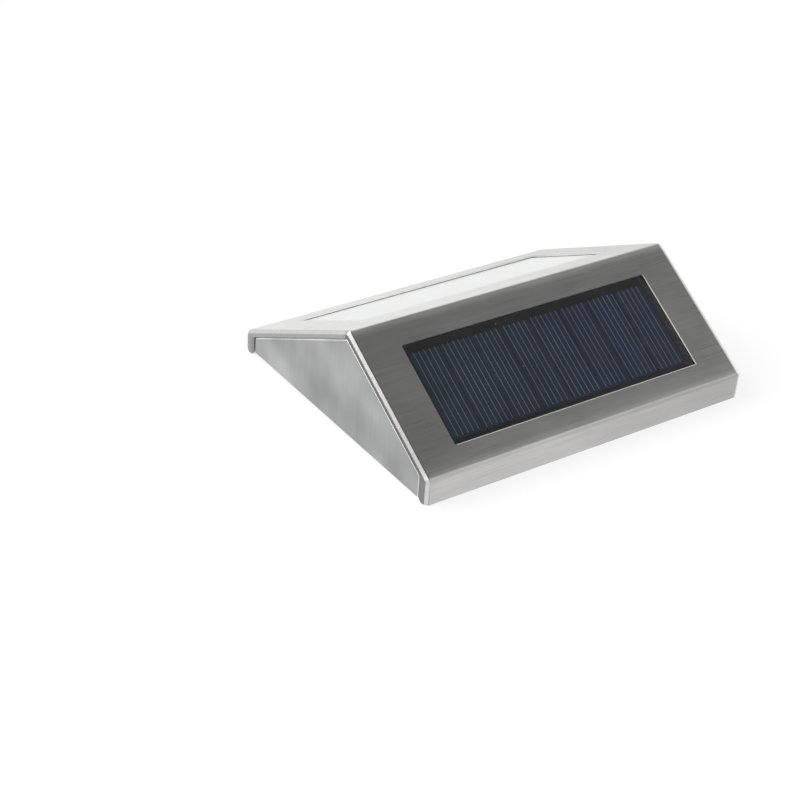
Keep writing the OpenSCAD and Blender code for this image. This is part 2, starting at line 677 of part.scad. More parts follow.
panel_tab_l = 4;
panel_tab_t = 0.2;
panel_tab_step = 4.4;
panel_tab_from_end = 4.5;
panel_tab_x = [for (i = [1, 0]) panel_window_w / 2 - panel_tab_from_end - i * panel_tab_step];
module panel_tabs() color("lightgray") on_front() for (x = panel_tab_x)
    translate([x, panel_mid, 0])
        layer(panel_tab_l / 2, -panel_tab_l / 2, panel_tab_l / 2, panel_depth, panel_tab_t);

// Lamp window, from the foam tape inwards

module lens_tape() color("black") on_rear() frame_layer(lens_window_w + 2 * tape_back,
    lens_window_from - tape_back, lens_window_to + tape_back, lens_margin - tape_back, sheet_t, tape_t);
module lens_layer(depth, t) layer(lens_window_w + 2 * lens_margin, lens_window_from - lens_margin,
    lens_window_to + lens_margin, depth, t);
module lens() color("white", 0.8) on_rear() lens_layer(under_sheet, lens_t);

// The reflector hangs from a rim under the lens, and its walls lean in to a floor with a hole for each lamp
module funnel(inset, top, bottom) hull() {
    translate([0, 0, -top])
        layer(lens_window_w - 2 * inset, lens_window_from + inset, lens_window_to - inset, 0, fine);
    half = reflector_floor_h / 2 - inset;
    translate([0, lens_mid, fine - bottom]) layer(reflector_floor_w - 2 * inset, -half, half, 0, fine);
}
peg_r = 1;
peg_x = reflector_floor_w / 2 - 2 * peg_r;
reflector_bottom = lens_depth + reflector_depth;
module reflector() color("white") on_rear() {
    difference() {
        union() {
            lens_layer(under_sheet + lens_t, reflector_t);
            funnel(pocket_gap, lens_depth - fine, reflector_bottom);
        }
        funnel(pocket_gap + reflector_t, under_sheet + lens_t - overrun, reflector_bottom - reflector_t);
        for (i = [-1:1]) translate([i * led_pitch, lens_mid, -reflector_bottom - overrun])
            cylinder(h = reflector_t + 2 * overrun, r = led_foot_r + pocket_gap);
    }
    for (sx = [-1, 1]) translate([sx * peg_x, lens_mid, -reflector_bottom - board_t - 2 * pocket_gap])
        cylinder(h = board_t + 2 * pocket_gap + fine, r = peg_r);
}
module led_board() color("seagreen") on_rear() difference() {
    translate([0, lens_mid, 0]) layer(led_board_w, -led_board_h / 2, led_board_h / 2, led_board_top, board_t);
    for (sx = [-1, 1]) translate([sx * peg_x, lens_mid, -led_board_top - board_t - overrun])
        cylinder(h = board_t + 2 * overrun, r = peg_r + fine);
}
module led(i) color("lightyellow") on_rear() translate([i * led_pitch, lens_mid, -led_board_top]) {
    cylinder(h = led_foot_h, r = led_foot_r);
    cylinder(h = led_h - led_r, r = led_r);
    translate([0, 0, led_h - led_r]) sphere(r = led_r);
}
module led_left() led(-1);
module led_middle() led(0);
module led_right() led(1);
resistor_size = [2, 1.25, 0.5];
resistor_z = -led_board_top - board_t - resistor_size[2];
module led_resistors() color("black") on_rear() for (i = [-1:1])
    translate([i * led_pitch + led_pitch / 6, lens_mid - resistor_size[0] / 2, resistor_z])
        cube(resistor_size);

// Control board and what is on it

module control_board() color("seagreen") difference() {
    translate([board_x, board_y, 0]) box(board_w, board_d, board_z, board_z + board_t);
    for (share = post_place_shares) translate(concat(on_board(share), [board_z - overrun]))
        cylinder(h = board_t + 2 * overrun, r = post_screw_r + fit_gap);
    at_switch() for (i = [-1:1]) translate([i * switch_pin_pitch, 0, board_z - overrun])
        cylinder(h = board_t + 2 * overrun, r = switch_pin_r + fit_gap);
}
module board_screws() color("silver") for (share = post_place_shares)
    translate(concat(on_board(share), [board_z + board_t + post_head_h])) mirror([0, 0, 1])
        cross_screw(post_head_r, post_head_h, post_screw_r, board_z + board_t - back_top - fit_gap);
chip_size = [5, 4, 1.5];
module driver_chip() color("black") translate(concat(on_board(chip_place_share), [0]))
    box(chip_size[0], chip_size[1], board_z + board_t, board_z + board_t + chip_size[2]);
choke_r = 1.8;
choke_l = 9;
choke_z = board_z + board_t + choke_r;
module choke() color("olivedrab") translate(concat(on_board(choke_place_share), [choke_z]))
    rod_x(choke_l, choke_r);
capacitor_r = 2.5;
capacitor_h = 6;
module capacitor() color("black") translate(concat(on_board(capacitor_place_share), [board_z + board_t]))
    cylinder(h = capacitor_h, r = capacitor_r);

// Slide switch under the board, with its knob through the back plate

switch_pin_pitch = 2.5;
switch_pin_r = 0.3;
switch_pin_l = 2;
wafer_t = 0.6;
switch_z = board_z - switch_h;
carriage_z = switch_z + switch_sheet_t + knob_gap / 2;
carriage_top = board_z - wafer_t - knob_gap / 2;
knob_tip_z = back_recess + fit_gap;
module switch_frame() color("silver") at_switch() difference() {
    box(switch_w, switch_d, switch_z, board_z);
    box(switch_w - 2 * switch_sheet_t, switch_d - 2 * switch_sheet_t, switch_z + switch_sheet_t,
        board_z + overrun);
    box(knob_slot_w, knob_d + 2 * knob_gap, switch_z - overrun, switch_z + switch_sheet_t + overrun);
}
module switch_wafer() color("saddlebrown") at_switch() box(switch_w - 2 * switch_sheet_t - fit_gap,
    switch_d - 2 * switch_sheet_t - fit_gap, board_z - wafer_t, board_z);
module switch_pins() color("lightgray") at_switch() for (i = [-1:1])
    translate([i * switch_pin_pitch, 0, board_z]) cylinder(h = switch_pin_l, r = switch_pin_r);
// The knob rests at its left end, which is off
carriage_w = knob_w + switch_travel + knob_gap;
module switch_knob() color("black") at_switch() translate([-switch_travel / 2, 0, 0]) {
    box(knob_w, knob_d, knob_tip_z, carriage_top);
    box(carriage_w, switch_d - 2 * (switch_sheet_t + knob_gap), carriage_z, carriage_top);
}

// Wires, each a smooth curve from a pad on the control board to the piece that it feeds

wire_rings = 12;
wire_lift = 6;
function curve(a, b, c, d) = [for (i = [0:wire_rings]) let (t = i / wire_rings, u = 1 - t)
    u * u * u * a + 3 * u * u * t * b + 3 * u * t * t * c + t * t * t * d];
function pad(share) = concat(on_board(share), [board_z + board_t + fine]);
up = [0, 0, 1];
module lead(share, to, leave) {
    from = pad(share) + wire_d * up;
    end = to + wire_d * leave;
    middle = curve(from, from + wire_lift * up, end + wire_lift * leave, end);
    wire(concat([pad(share)], middle, [to]), wire_d, 6);
}
function panel_pad(i) = front_point(panel_tab_x[i], panel_mid, panel_depth + panel_tab_t + fine);
function lamp_pad(i) = rear_point(on_board(lamp_pad_shares[i])[0], lens_mid, led_board_top + board_t + fine);
function tail_pad(side) =
    [bay_w / 2 + wire_d / 2 + fine, ridge_y + side * battery_step, tail_top - wire_d / 2];
module panel_wire_red() color("red") lead(panel_pad_shares[0], panel_pad(0), front_inwards);
module panel_wire_black() color("black") lead(panel_pad_shares[1], panel_pad(1), front_inwards);
module battery_wire_red() color("red") lead(battery_pad_shares[0], tail_pad(-1), up);
module battery_wire_black() color("black") lead(battery_pad_shares[1], tail_pad(1), up);
module lamp_wire_white() color("white") lead(lamp_pad_shares[0], lamp_pad(0), rear_inwards);
module lamp_wire_black() color("black") lead(lamp_pad_shares[1], lamp_pad(1), rear_inwards);

cover();
side_plate_left();
side_plate_right();
housing();
back_plate();
back_seal();
back_screws();
panel_tape();
panel_board();
solar_cells();
panel_resin();
panel_tabs();
lens_tape();
lens();
reflector();
led_board();
led_left();
led_middle();
led_right();
led_resistors();
control_board();
driver_chip();
choke();
capacitor();
board_screws();
switch_frame();
switch_wafer();
switch_pins();
switch_knob();
battery_case();
battery_front();
battery_rear();
contact_strap();
contact_plus();
contact_minus();
spring_left();
spring_right();
battery_door();
door_seal();
panel_wire_red();
panel_wire_black();
battery_wire_red();
battery_wire_black();
lamp_wire_white();
lamp_wire_black();
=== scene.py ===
from math import atan2, cos, hypot, pi, radians, sin, sqrt

import bpy
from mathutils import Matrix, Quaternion, Vector


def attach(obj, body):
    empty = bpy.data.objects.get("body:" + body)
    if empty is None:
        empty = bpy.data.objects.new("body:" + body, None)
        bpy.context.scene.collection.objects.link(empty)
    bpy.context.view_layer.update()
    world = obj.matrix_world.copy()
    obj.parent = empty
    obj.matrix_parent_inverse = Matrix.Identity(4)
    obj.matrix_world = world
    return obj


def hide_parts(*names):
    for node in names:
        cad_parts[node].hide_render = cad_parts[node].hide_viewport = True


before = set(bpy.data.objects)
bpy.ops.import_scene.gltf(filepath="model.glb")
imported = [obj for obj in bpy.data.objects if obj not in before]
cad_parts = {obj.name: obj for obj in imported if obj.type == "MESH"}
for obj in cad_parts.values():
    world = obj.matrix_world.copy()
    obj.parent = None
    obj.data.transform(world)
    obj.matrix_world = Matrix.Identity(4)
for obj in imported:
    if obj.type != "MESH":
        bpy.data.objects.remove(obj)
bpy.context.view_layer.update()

# The light lies on its back. X runs along the ridge, the solar slope faces -Y, the lamp slope faces +Y.
# Sizes are written in millimetres and made into metres where a mesh is made.
mm = 0.001
scene = bpy.context.scene

# Camera: a long lens to the left of the solar slope and above it, tipped a little about its own axis. It
# gives the photo's frame.
view_from = Vector((-322.018, -384.107, 298.573)) * mm
view_to = Vector((-36.103, 0.251, 0)) * mm
camera_tip = 4.0506
camera = bpy.data.objects.new("camera", bpy.data.cameras.new("camera"))
camera.data.lens = 79.24
camera.data.sensor_width = 36
camera.location = view_from
camera.rotation_mode = "QUATERNION"
camera.rotation_quaternion = ((view_to - view_from).to_track_quat("-Z", "Y")
                              @ Quaternion((0, 0, 1), radians(camera_tip)))
scene.collection.objects.link(camera)
scene.camera = camera
scene.view_settings.view_transform = "Standard"


# Studio: pale walls, brightest on the left, under a darker ceiling that the solar slope mirrors, and one wide
# soft lamp high on the left behind the light. The world shines from below too, so that the back shows.
def add(tree, kind, inputs=None, **settings):
    made = tree.nodes.new(kind)
    for name, value in settings.items():
        setattr(made, name, value)
    for socket, value in (inputs or {}).items():
        if isinstance(value, bpy.types.NodeSocket):
            tree.links.new(value, made.inputs[socket])
        else:
            made.inputs[socket].default_value = value
    return made


def maths(tree, operation, a, b=0.0):
    return add(tree, "ShaderNodeMath", {0: a, 1: b}, operation=operation).outputs[0]


def fade(tree, value, start, end, before, after):
    """Goes softly from one value to another while the given value goes from start to end."""
    return add(tree, "ShaderNodeMapRange", {
        "Value": value, "From Min": start, "From Max": end, "To Min": before, "To Max": after},
        interpolation_type="SMOOTHSTEP").outputs["Result"]


ceiling_level, wall_level, left_wall_level, ground_level = 0.15, 0.84, 1.05, 0.80
left_wall_edge, ceiling_edge, ground_edge = (-0.75, -0.2), (0.55, 0.78), (-0.12, 0.02)
world = bpy.data.worlds.new("studio")
scene.world = world
world.use_nodes = True
tree = world.node_tree
tree.nodes.clear()
towards = add(tree, "ShaderNodeSeparateXYZ", {
    "Vector": add(tree, "ShaderNodeTexCoord").outputs["Generated"]}).outputs
walls = fade(tree, towards["X"], *left_wall_edge, left_wall_level, wall_level)
level = fade(tree, towards["Z"], *ceiling_edge, walls, ceiling_level)
level = fade(tree, towards["Z"], *ground_edge, ground_level, level)
level = maths(tree, "MAXIMUM", level, add(tree, "ShaderNodeLightPath").outputs["Is Camera Ray"])
sky = add(tree, "ShaderNodeBackground", {"Color": (1, 1, 1, 1), "Strength": level})
add(tree, "ShaderNodeOutputWorld", {"Surface": sky.outputs[0]})

lamp = bpy.data.objects.new("lamp", bpy.data.lights.new("lamp", "SUN"))
lamp.data.energy = 2.1
lamp.data.angle = radians(50)
lamp.rotation_mode = "QUATERNION"
lamp.rotation_quaternion = Vector((-0.6, 0.5, 0.62)).to_track_quat("Z", "Y")
scene.collection.objects.link(lamp)


# Floor: a plain pale sheet that only the camera sees, and only from above. It keeps the light's shadow, and
# leaves the light itself lit by the studio alone.
def new_material(name):
    made = bpy.data.materials.new(name)
    made.use_nodes = True
    made.node_tree.nodes.clear()
    return made


def make_mesh(name, points, faces, material, uvs=None):
    mesh = bpy.data.meshes.new(name)
    mesh.from_pydata([(x * mm, y * mm, z * mm) for x, y, z in points], [], faces)
    if uvs:
        layer = mesh.uv_layers.new(name="unfolded")
        for corner, vertex in enumerate(loop.vertex_index for loop in mesh.loops):
            layer.data[corner].uv = uvs[vertex]
    mesh.materials.append(material)
    mesh.validate()
    obj = bpy.data.objects.new(name, mesh)
    scene.collection.objects.link(obj)
    return obj


floor_paint = new_material("floor paint")
tree = floor_paint.node_tree
white_share, white_level, floor_half, floor_z = 0.72, 1.12, 3000, -0.1
paint = add(tree, "ShaderNodeMixShader", {
    0: white_share, 1: add(tree, "ShaderNodeBsdfDiffuse", {"Color": (0.9, 0.9, 0.9, 1)}).outputs[0],
    2: add(tree, "ShaderNodeEmission", {"Color": (1, 1, 1, 1), "Strength": white_level}).outputs[0]})
from_below = add(tree, "ShaderNodeMixShader", {
    0: add(tree, "ShaderNodeNewGeometry").outputs["Backfacing"], 1: paint.outputs[0],
    2: add(tree, "ShaderNodeBsdfTransparent").outputs[0]})
add(tree, "ShaderNodeOutputMaterial", {"Surface": from_below.outputs[0]})
floor_corners = [(x * floor_half, y * floor_half, floor_z) for x, y in ((-1, -1), (1, -1), (1, 1), (-1, 1))]
floor = make_mesh("floor", floor_corners, [(0, 1, 2, 3)], floor_paint)
floor.visible_diffuse = floor.visible_glossy = floor.visible_transmission = floor.visible_shadow = False

# Cover: one sheet of 0.6 mm stainless steel, brushed along the ridge, with two punched windows. It is bent
# over the ridge and into a lip at the front and the rear, and folded round each end into a narrow flange.
cover_w, cover_d, apex_h, ridge_y = 126, 104, 36.5, -7.1
front_lip_h, rear_lip_h = 8.8, 7
sheet_t, bend_r, least_bend_r = 0.6, 1.8, 0.1
flange_w = [4, 2.3, 2.3, 5.3]
flange_corner_r, foot_r, front_tip_r, rear_tip_r = 0.8, 2.2, 0.35, 1.6
fold_turn, flange_bend_r = 48, 0.62
left_fold, right_fold = {"r": 0.62, "chamfer": 1.0}, {"r": 2.6, "chamfer": 0.05}
window_r = 0.6
panel_window = {"half": 48.4, "from": 9.3, "to": 44.9}
lens_window = {"half": 49.2, "from": 14, "to": 55.7}

front_slope = atan2(apex_h - front_lip_h, ridge_y + cover_d / 2)
rear_slope = atan2(apex_h - rear_lip_h, cover_d / 2 - ridge_y)
flats = [(turn, cover_d / 2 if turn in (0, pi) else cos(turn) * ridge_y + sin(turn) * apex_h)
         for turn in (pi, pi / 2 + front_slope, pi / 2 - rear_slope, 0)]
quarter_steps = 8


def bend(i, insets, radius):
    """Points (y, z) of the bend between flat i and the next, each flat moved in by its inset."""
    (a, da), (b, db) = flats[i], flats[i + 1]
    da, db = da - insets[i] - radius, db - insets[i + 1] - radius
    k = sin(b - a)
    y, z = (da * sin(b) - db * sin(a)) / k, (db * cos(a) - da * cos(b)) / k
    turns = [a + (b - a) * step / quarter_steps for step in range(quarter_steps + 1)]
    return [(y + radius * cos(turn), z + radius * sin(turn)) for turn in turns]


def slope_point(slope, down, inside):
    """A point (y, z) on a slope: how far down from the ridge, and how far in from the cover's face."""
    side, angle = (-1, front_slope) if slope == "front" else (1, rear_slope)
    return (ridge_y + side * (down * cos(angle) - inside * sin(angle)),
            apex_h - down * sin(angle) - inside * cos(angle))


def how_far(slope, point):
    """How far down a slope from the ridge a point (y, z) lies."""
    side, angle = (-1, front_slope) if slope == "front" else (1, rear_slope)
    return side * (point[0] - ridge_y) * cos(angle) - (point[1] - apex_h) * sin(angle)


def window_rows(window):
    return [window["from"], window["from"] + window_r, window["to"] - window_r, window["to"]]


front_rows = window_rows(panel_window)[::-1]
rear_rows = window_rows(lens_window)
foot_rows = [foot_r * (1 - cos(pi / 2 * step / quarter_steps)) for step in range(quarter_steps + 1)]


def rounded_away(radius, z):
    """How much a rounded lower corner takes off the edge at this height."""
    return radius - sqrt(radius ** 2 - (radius - z) ** 2) if z < radius else 0


def between(a, b, share):
    return a[0] + (b[0] - a[0]) * share, a[1] + (b[1] - a[1]) * share


def cover_profile(insets, radius, depth, front_foot, rear_foot):
    """Points (y, z) from the front lip's edge over the ridge to the rear lip's edge, alike in number for
    every column. The window rows lie where the flat sheet, this deep, crosses them."""
    arcs = [bend(i, insets, radius) for i in range(3)]
    sheet = [bend(i, [depth] * 4, bend_r - depth) for i in range(3)]
    front = [how_far("front", p) for p in (sheet[0][-1], sheet[1][0])]
    rear = [how_far("rear", p) for p in (sheet[1][-1], sheet[2][0])]
    front_shares = [(row - front[0]) / (front[1] - front[0]) for row in front_rows]
    rear_shares = [(row - rear[0]) / (rear[1] - rear[0]) for row in rear_rows]
    return ([(insets[0] + front_foot(z) - cover_d / 2, z) for z in foot_rows]
            + arcs[0]
            + [between(arcs[0][-1], arcs[1][0], share) for share in front_shares]
            + arcs[1]
            + [between(arcs[1][-1], arcs[2][0], share) for share in rear_shares]
            + arcs[2]
            + [(cover_d / 2 - insets[3] - rear_foot(z), z) for z in foot_rows[::-1]])


def cover_column(x, depth, inset, share):
    """A column of points across the sheet. Share is 1 at the end flange's face and 0 on the flat sheet."""
    tips = (front_tip_r * share, rear_tip_r * share) if depth == 0 else (0, 0)
    profile = cover_profile([inset] * 4, max(bend_r - inset, least_bend_r), depth,
                            lambda z: rounded_away(tips[0], z), lambda z: rounded_away(tips[1], z))
    return [(x, y, z) for y, z in profile]


def fold_section(depth, fold):
    """The fold round an end, from the flange's face to the flat sheet: distance in from the end, inset from
    the slope, and unfolded distance. It turns in two bends with a flat chamfer between them."""
    turned = radians(fold_turn)
    r, chamfer = fold["r"], fold["chamfer"]
    corner = (r * sin(turned) + chamfer * cos(turned), r * (1 - cos(turned)) + chamfer * sin(turned))
    points = []
    for step in range(quarter_steps + 1):
        turn = turned + (pi / 2 - turned) * (1 - step / quarter_steps)
        points.append((corner[0] + flange_bend_r * (sin(turn) - sin(turned)),
                       corner[1] + flange_bend_r * (cos(turned) - cos(turn)), turn))
    for step in range(quarter_steps + 1):
        turn = turned * (1 - step / quarter_steps)
        points.append((r * sin(turn), r * (1 - cos(turn)), turn))
    reach = points[0][0]
    section, along = [], 0.0
    for i, (out, inset, turn) in enumerate(points):
        if i:
            along += hypot(points[i - 1][0] - out, points[i - 1][1] - inset)
        section.append((reach - out + depth * sin(turn), inset + depth * cos(turn), along))
    return section


def end_columns(depth, fold):
    """The columns of one end, from the flange's inner edge to the flat sheet, and where they lie unfolded."""
    def foot(z):
        return -rounded_away(foot_r, z)

    profile = cover_profile(flange_w, flange_corner_r, depth, foot, foot)
    surface = fold_section(0, fold)
    unfolded = cover_w / 2 - surface[-1][0] + surface[-1][2]
    columns = [[(cover_w / 2 - depth, y, z) for y, z in profile]]
    spread = [unfolded + flange_w[1] - surface[0][1]]
    for (back, inset, _), (_, surface_inset, along) in zip(fold_section(depth, fold), surface):
        columns.append(cover_column(cover_w / 2 - back, depth, inset, min(surface_inset / surface[0][1], 1)))
        spread.append(unfolded - along)
    return columns, spread


def cover_skin(depth):
    """The columns of the outer skin, depth 0, or of the inner one, and how far each lies unfolded."""
    left, left_spread = end_columns(depth, left_fold)
    right, right_spread = end_columns(depth, right_fold)
    crossings = sorted({side * (window["half"] - back) for window in (panel_window, lens_window)
                        for side in (-1, 1) for back in (0, window_r)})
    middle = [cover_column(x, depth, depth, 0) for x in crossings]
    return ([[(-x, y, z) for x, y, z in column] for column in left] + middle + right[::-1],
            [-s for s in left_spread] + crossings + right_spread[::-1])


def window_corners(slope, window, depth):
    """Arc points of the window's four corners, and the grid corner that each fans out from."""
    found = []
    for side in (-1, 1):
        for row, towards in ((window["from"], 1), (window["to"], -1)):
            arc = []
            for step in range(1, quarter_steps):
                turn = pi / 2 * step / quarter_steps
                x = side * (window["half"] - window_r + window_r * sin(turn))
                y, z = slope_point(slope, row + towards * window_r * (1 - cos(turn)), depth)
                arc.append((x, y, z))
            found.append((side, row, arc))
    return found


outer, spread = cover_skin(0)
inner, _ = cover_skin(sheet_t)
row_count = len(outer[0])
run = [0.0]
for a, b in zip(outer[len(outer) // 2], outer[len(outer) // 2][1:]):
    run.append(run[-1] + hypot(b[1] - a[1], b[2] - a[2]))
first_front = len(foot_rows) + quarter_steps + 1
first_rear = first_front + len(front_rows) + quarter_steps + 1
row_of = {("front", down): first_front + i for i, down in enumerate(front_rows)}
row_of.update({("rear", down): first_rear + i for i, down in enumerate(rear_rows)})
column_of = {round(s, 3): i for i, s in enumerate(spread)}

skins, uvs = [[], []], []
for skin, columns in zip(skins, (outer, inner)):
    for column in columns:
        skin.extend(column)
for s in spread:
    uvs.extend((s * mm, r * mm) for r in run)
cut, faces = set(), []
for slope, window in (("front", panel_window), ("rear", lens_window)):
    rows = sorted(row_of[slope, down] for down in window_rows(window))
    lanes = sorted(column_of[round(side * (window["half"] - back), 3)]
                   for side in (-1, 1) for back in (0, window_r))
    cut.update((lane, row) for lane in range(lanes[0], lanes[-1]) for row in range(rows[0], rows[-1]))
    for (side, down, arc), (_, _, deep_arc) in zip(window_corners(slope, window, 0),
                                                    window_corners(slope, window, sheet_t)):
        lane = column_of[round(side * window["half"], 3)]
        near_lane = column_of[round(side * (window["half"] - window_r), 3)]
        row = row_of[slope, down]
        inward = window_r if down == window["from"] else -window_r
        near_row = row_of[slope, down + inward]
        start = len(skins[0])
        skins[0].extend(arc)
        skins[1].extend(deep_arc)
        way = 1 if slope == "rear" else -1
        uvs.extend((x * mm, (run[row] + way * abs(how_far(slope, (y, z)) - down)) * mm) for x, y, z in arc)
        chain = ([near_lane * row_count + row] + list(range(start, start + len(arc)))
                 + [lane * row_count + near_row])
        faces.extend((lane * row_count + row, a, b) for a, b in zip(chain, chain[1:]))
for lane in range(len(spread) - 1):
    for row in range(row_count - 1):
        if (lane, row) not in cut:
            a = lane * row_count + row
            faces.append((a, a + 1, a + row_count + 1, a + row_count))


def thicken(faces, skin_size):
    """Closes a sheet: the second skin repeats the first one's faces, and a strip joins each free edge."""
    edges = {}
    for face in faces:
        for a, b in zip(face, face[1:] + face[:1]):
            edges[tuple(sorted((a, b)))] = None if tuple(sorted((a, b))) in edges else (a, b)
    rims = [(b, a, a + skin_size, b + skin_size) for a, b in filter(None, edges.values())]
    return list(faces) + [tuple(v + skin_size for v in face[::-1]) for face in faces] + rims


def square_up(obj):
    """Makes every face of a closed mesh look outwards."""
    bpy.context.view_layer.objects.active = obj
    bpy.ops.object.select_all(action="DESELECT")
    obj.select_set(True)
    bpy.ops.object.mode_set(mode="EDIT")
    bpy.ops.mesh.select_all(action="SELECT")
    bpy.ops.mesh.normals_make_consistent(inside=False)
    bpy.ops.object.mode_set(mode="OBJECT")


def break_edges(obj, width, angle):
    """A small rounded break on each sharp edge."""
    edge = obj.modifiers.new("edge", "BEVEL")
    edge.width, edge.segments, edge.limit_method, edge.angle_limit = width * mm, 2, "ANGLE", radians(angle)


def soften(obj, width, angle=40):
    """Smooth faces with broken edges."""
    obj.data.shade_smooth()
    break_edges(obj, width, angle)
    even = obj.modifiers.new("even", "WEIGHTED_NORMAL")
    even.keep_sharp = True


def new_group(name, inputs, outputs):
    group = bpy.data.node_groups.new(name, "ShaderNodeTree")
    for label, kind, value in inputs:
        socket = group.interface.new_socket(label, in_out="INPUT", socket_type="NodeSocket" + kind)
        if value is not None:
            socket.default_value = value
    for label, kind in outputs:
        group.interface.new_socket(label, in_out="OUTPUT", socket_type="NodeSocket" + kind)
    return group, group.nodes.new("NodeGroupInput").outputs, group.nodes.new("NodeGroupOutput").inputs


# The brushing shows as long thin streaks, in two widths, with broad cloudy patches over them.
brushed, given, out = new_group("brushed grain", [
    ("Vector", "Vector", None), ("Color", "Color", (0.6, 0.6, 0.6, 1)), ("Streak Length", "Float", 12.0),
    ("Streak Width", "Float", 0.25), ("Contrast", "Float", 0.15), ("Roughness", "Float", 0.3),
    ("Cloud", "Float", 0.1)], [("Color", "Color"), ("Roughness", "Float"), ("Height", "Float")])
place = add(brushed, "ShaderNodeSeparateXYZ", {"Vector": given["Vector"]}).outputs
lengthwise = maths(brushed, "DIVIDE", maths(brushed, "DIVIDE", place["X"], mm), given["Streak Length"])
crosswise = maths(brushed, "DIVIDE", maths(brushed, "DIVIDE", place["Y"], mm), given["Streak Width"])


def streaks(length_share, width_share, detail):
    spot = add(brushed, "ShaderNodeCombineXYZ", {
        "X": maths(brushed, "MULTIPLY", lengthwise, length_share),
        "Y": maths(brushed, "MULTIPLY", crosswise, width_share)}).outputs[0]
    wander = add(brushed, "ShaderNodeTexNoise", {
        "Vector": spot, "Scale": 1.0, "Detail": detail, "Roughness": 0.6}, noise_dimensions="2D").outputs[0]
    return maths(brushed, "SUBTRACT", wander, 0.5)


broad_length_share, broad_width_share, fine_strength, broad_strength = 0.3, 0.14, 1.4, 0.6
cloud_scale, shade_gain, rough_gain, broad_height = 45.0, 2.0, 0.5, 0.5
fine, broad = streaks(1, 1, 3.0), streaks(broad_length_share, broad_width_share, 2.0)
cloud = maths(brushed, "SUBTRACT", add(brushed, "ShaderNodeTexNoise", {
    "Vector": given["Vector"], "Scale": cloud_scale, "Detail": 2.0}).outputs[0], 0.5)
both = maths(brushed, "ADD", maths(brushed, "MULTIPLY", fine, fine_strength),
             maths(brushed, "MULTIPLY", broad, broad_strength))
sway = maths(brushed, "ADD", maths(brushed, "MULTIPLY", both, given["Contrast"]),
             maths(brushed, "MULTIPLY", cloud, given["Cloud"]))
shade = add(brushed, "ShaderNodeVectorMath", {
    0: given["Color"], "Scale": maths(brushed, "ADD", maths(brushed, "MULTIPLY", sway, shade_gain), 1.0)},
    operation="SCALE").outputs[0]
brushed.links.new(shade, out["Color"])
rough = maths(brushed, "ADD", given["Roughness"], maths(brushed, "MULTIPLY", sway, rough_gain))
brushed.links.new(rough, out["Roughness"])
height = maths(brushed, "ADD", fine, maths(brushed, "MULTIPLY", broad, broad_height))
brushed.links.new(height, out["Height"])


def brushed_metal(name, vector, color, *, length, width, contrast, roughness, cloudy, depth, metallic=1.0,
                  painted_light_and_shade=None):
    """A bare metal with a brushed or rolled grain. Vector is a function that gives a place whose X runs along
    the grain. The last argument paints light and shade into the metal's colour by the place on the piece:
    painted shade, painted highlights and painted reflections."""
    made = new_material(name)
    tree = made.node_tree
    grain = add(tree, "ShaderNodeGroup", {}, node_tree=brushed)
    tree.links.new(vector(tree), grain.inputs["Vector"])
    for socket, value in (("Color", (*color, 1)), ("Streak Length", length), ("Streak Width", width),
                          ("Contrast", contrast), ("Roughness", roughness), ("Cloud", cloudy)):
        grain.inputs[socket].default_value = value
    if painted_light_and_shade:
        tree.links.new(add(tree, "ShaderNodeVectorMath", {0: color, "Scale": painted_light_and_shade(tree)},
                           operation="SCALE").outputs[0], grain.inputs["Color"])
    bump = add(tree, "ShaderNodeBump", {
        "Strength": 1.0, "Distance": depth * mm, "Height": grain.outputs["Height"]})
    metal = add(tree, "ShaderNodeBsdfPrincipled", {
        "Base Color": grain.outputs["Color"], "Metallic": metallic, "Roughness": grain.outputs["Roughness"],
        "Normal": bump.outputs[0]})
    add(tree, "ShaderNodeOutputMaterial", {"Surface": metal.outputs[0]})
    return made


def product(tree, *factors):
    whole = factors[0]
    for factor in factors[1:]:
        whole = maths(tree, "MULTIPLY", whole, factor)
    return whole


def split(tree, vector):
    return add(tree, "ShaderNodeSeparateXYZ", {"Vector": vector}).outputs


def object_place(tree):
    return add(tree, "ShaderNodeTexCoord").outputs["Object"]


def sheet_place(tree):
    return add(tree, "ShaderNodeUVMap", uv_map="unfolded").outputs[0]


# Lines on the unfolded sheet: where the flange starts on both ends, the middle of the ridge's bend, and where
# the slopes begin above the lips. The middle of the length is 0.
flange_from = max(end_columns(0, left_fold)[1][1:])
over_ridge = run[first_front + len(front_rows) + quarter_steps // 2]
lip_line, rear_lip_line = run[len(foot_rows) + quarter_steps], run[-len(foot_rows) - 1]
middle_line = 0.0

# Where the painted shade and painted reflections on the steel fade: from and to, in millimetres past a line,
# and the values before and after.
painted_light_fades = {
    "flange": (-0.55, -0.25, 0.0, 1.0),
    "flange over the ridge": (-0.5, 2.0, 0.42, 0.70),
    "flange above the lip": (-0.6, 0.4, 0.5, 0.0),
    "tip along the flange": (-0.2, 1.6, 0.0, -0.55),
    "tip below the rear slope": (-1.0, 0.0, 0.0, 1.0),
    "ridge's end": (61.7, 62.1, 0.0, -0.3),
    "near the ridge": (1.0, 3.0, 1.0, 0.0),
    "lip": (-0.9, 0.1, 0.58, 1.0),
    "lip's foot": (-2.0, -1.2, 1.17, 1.0),
    "slope above the lip": (0.0, 9.0, 1.22, 1.0),
    "bend above the lip": (-0.2, 2.2, 0.30, 0.0),
    "front of the ridge": (-3.5, -0.8, 1.0, 1.55),
    "rear slope": (-0.5, 1.0, 1.0, 1.5),
    "right half": (-25.0, 60.0, 1.0, 0.84),
    "right bend": (61.0, 61.8, 1.0, 1.75),
    "left bend": (-61.9, -61.6, 0.72, 1.0),
    "left bend's inner edge": (-62.1, -61.9, 0.5, 0.0),
    "left bend's outer edge": (-63.4, -63.2, 0.0, 1.0),
    "left bend on the lip": (-1.0, 0.0, 1.0, 0.0)}


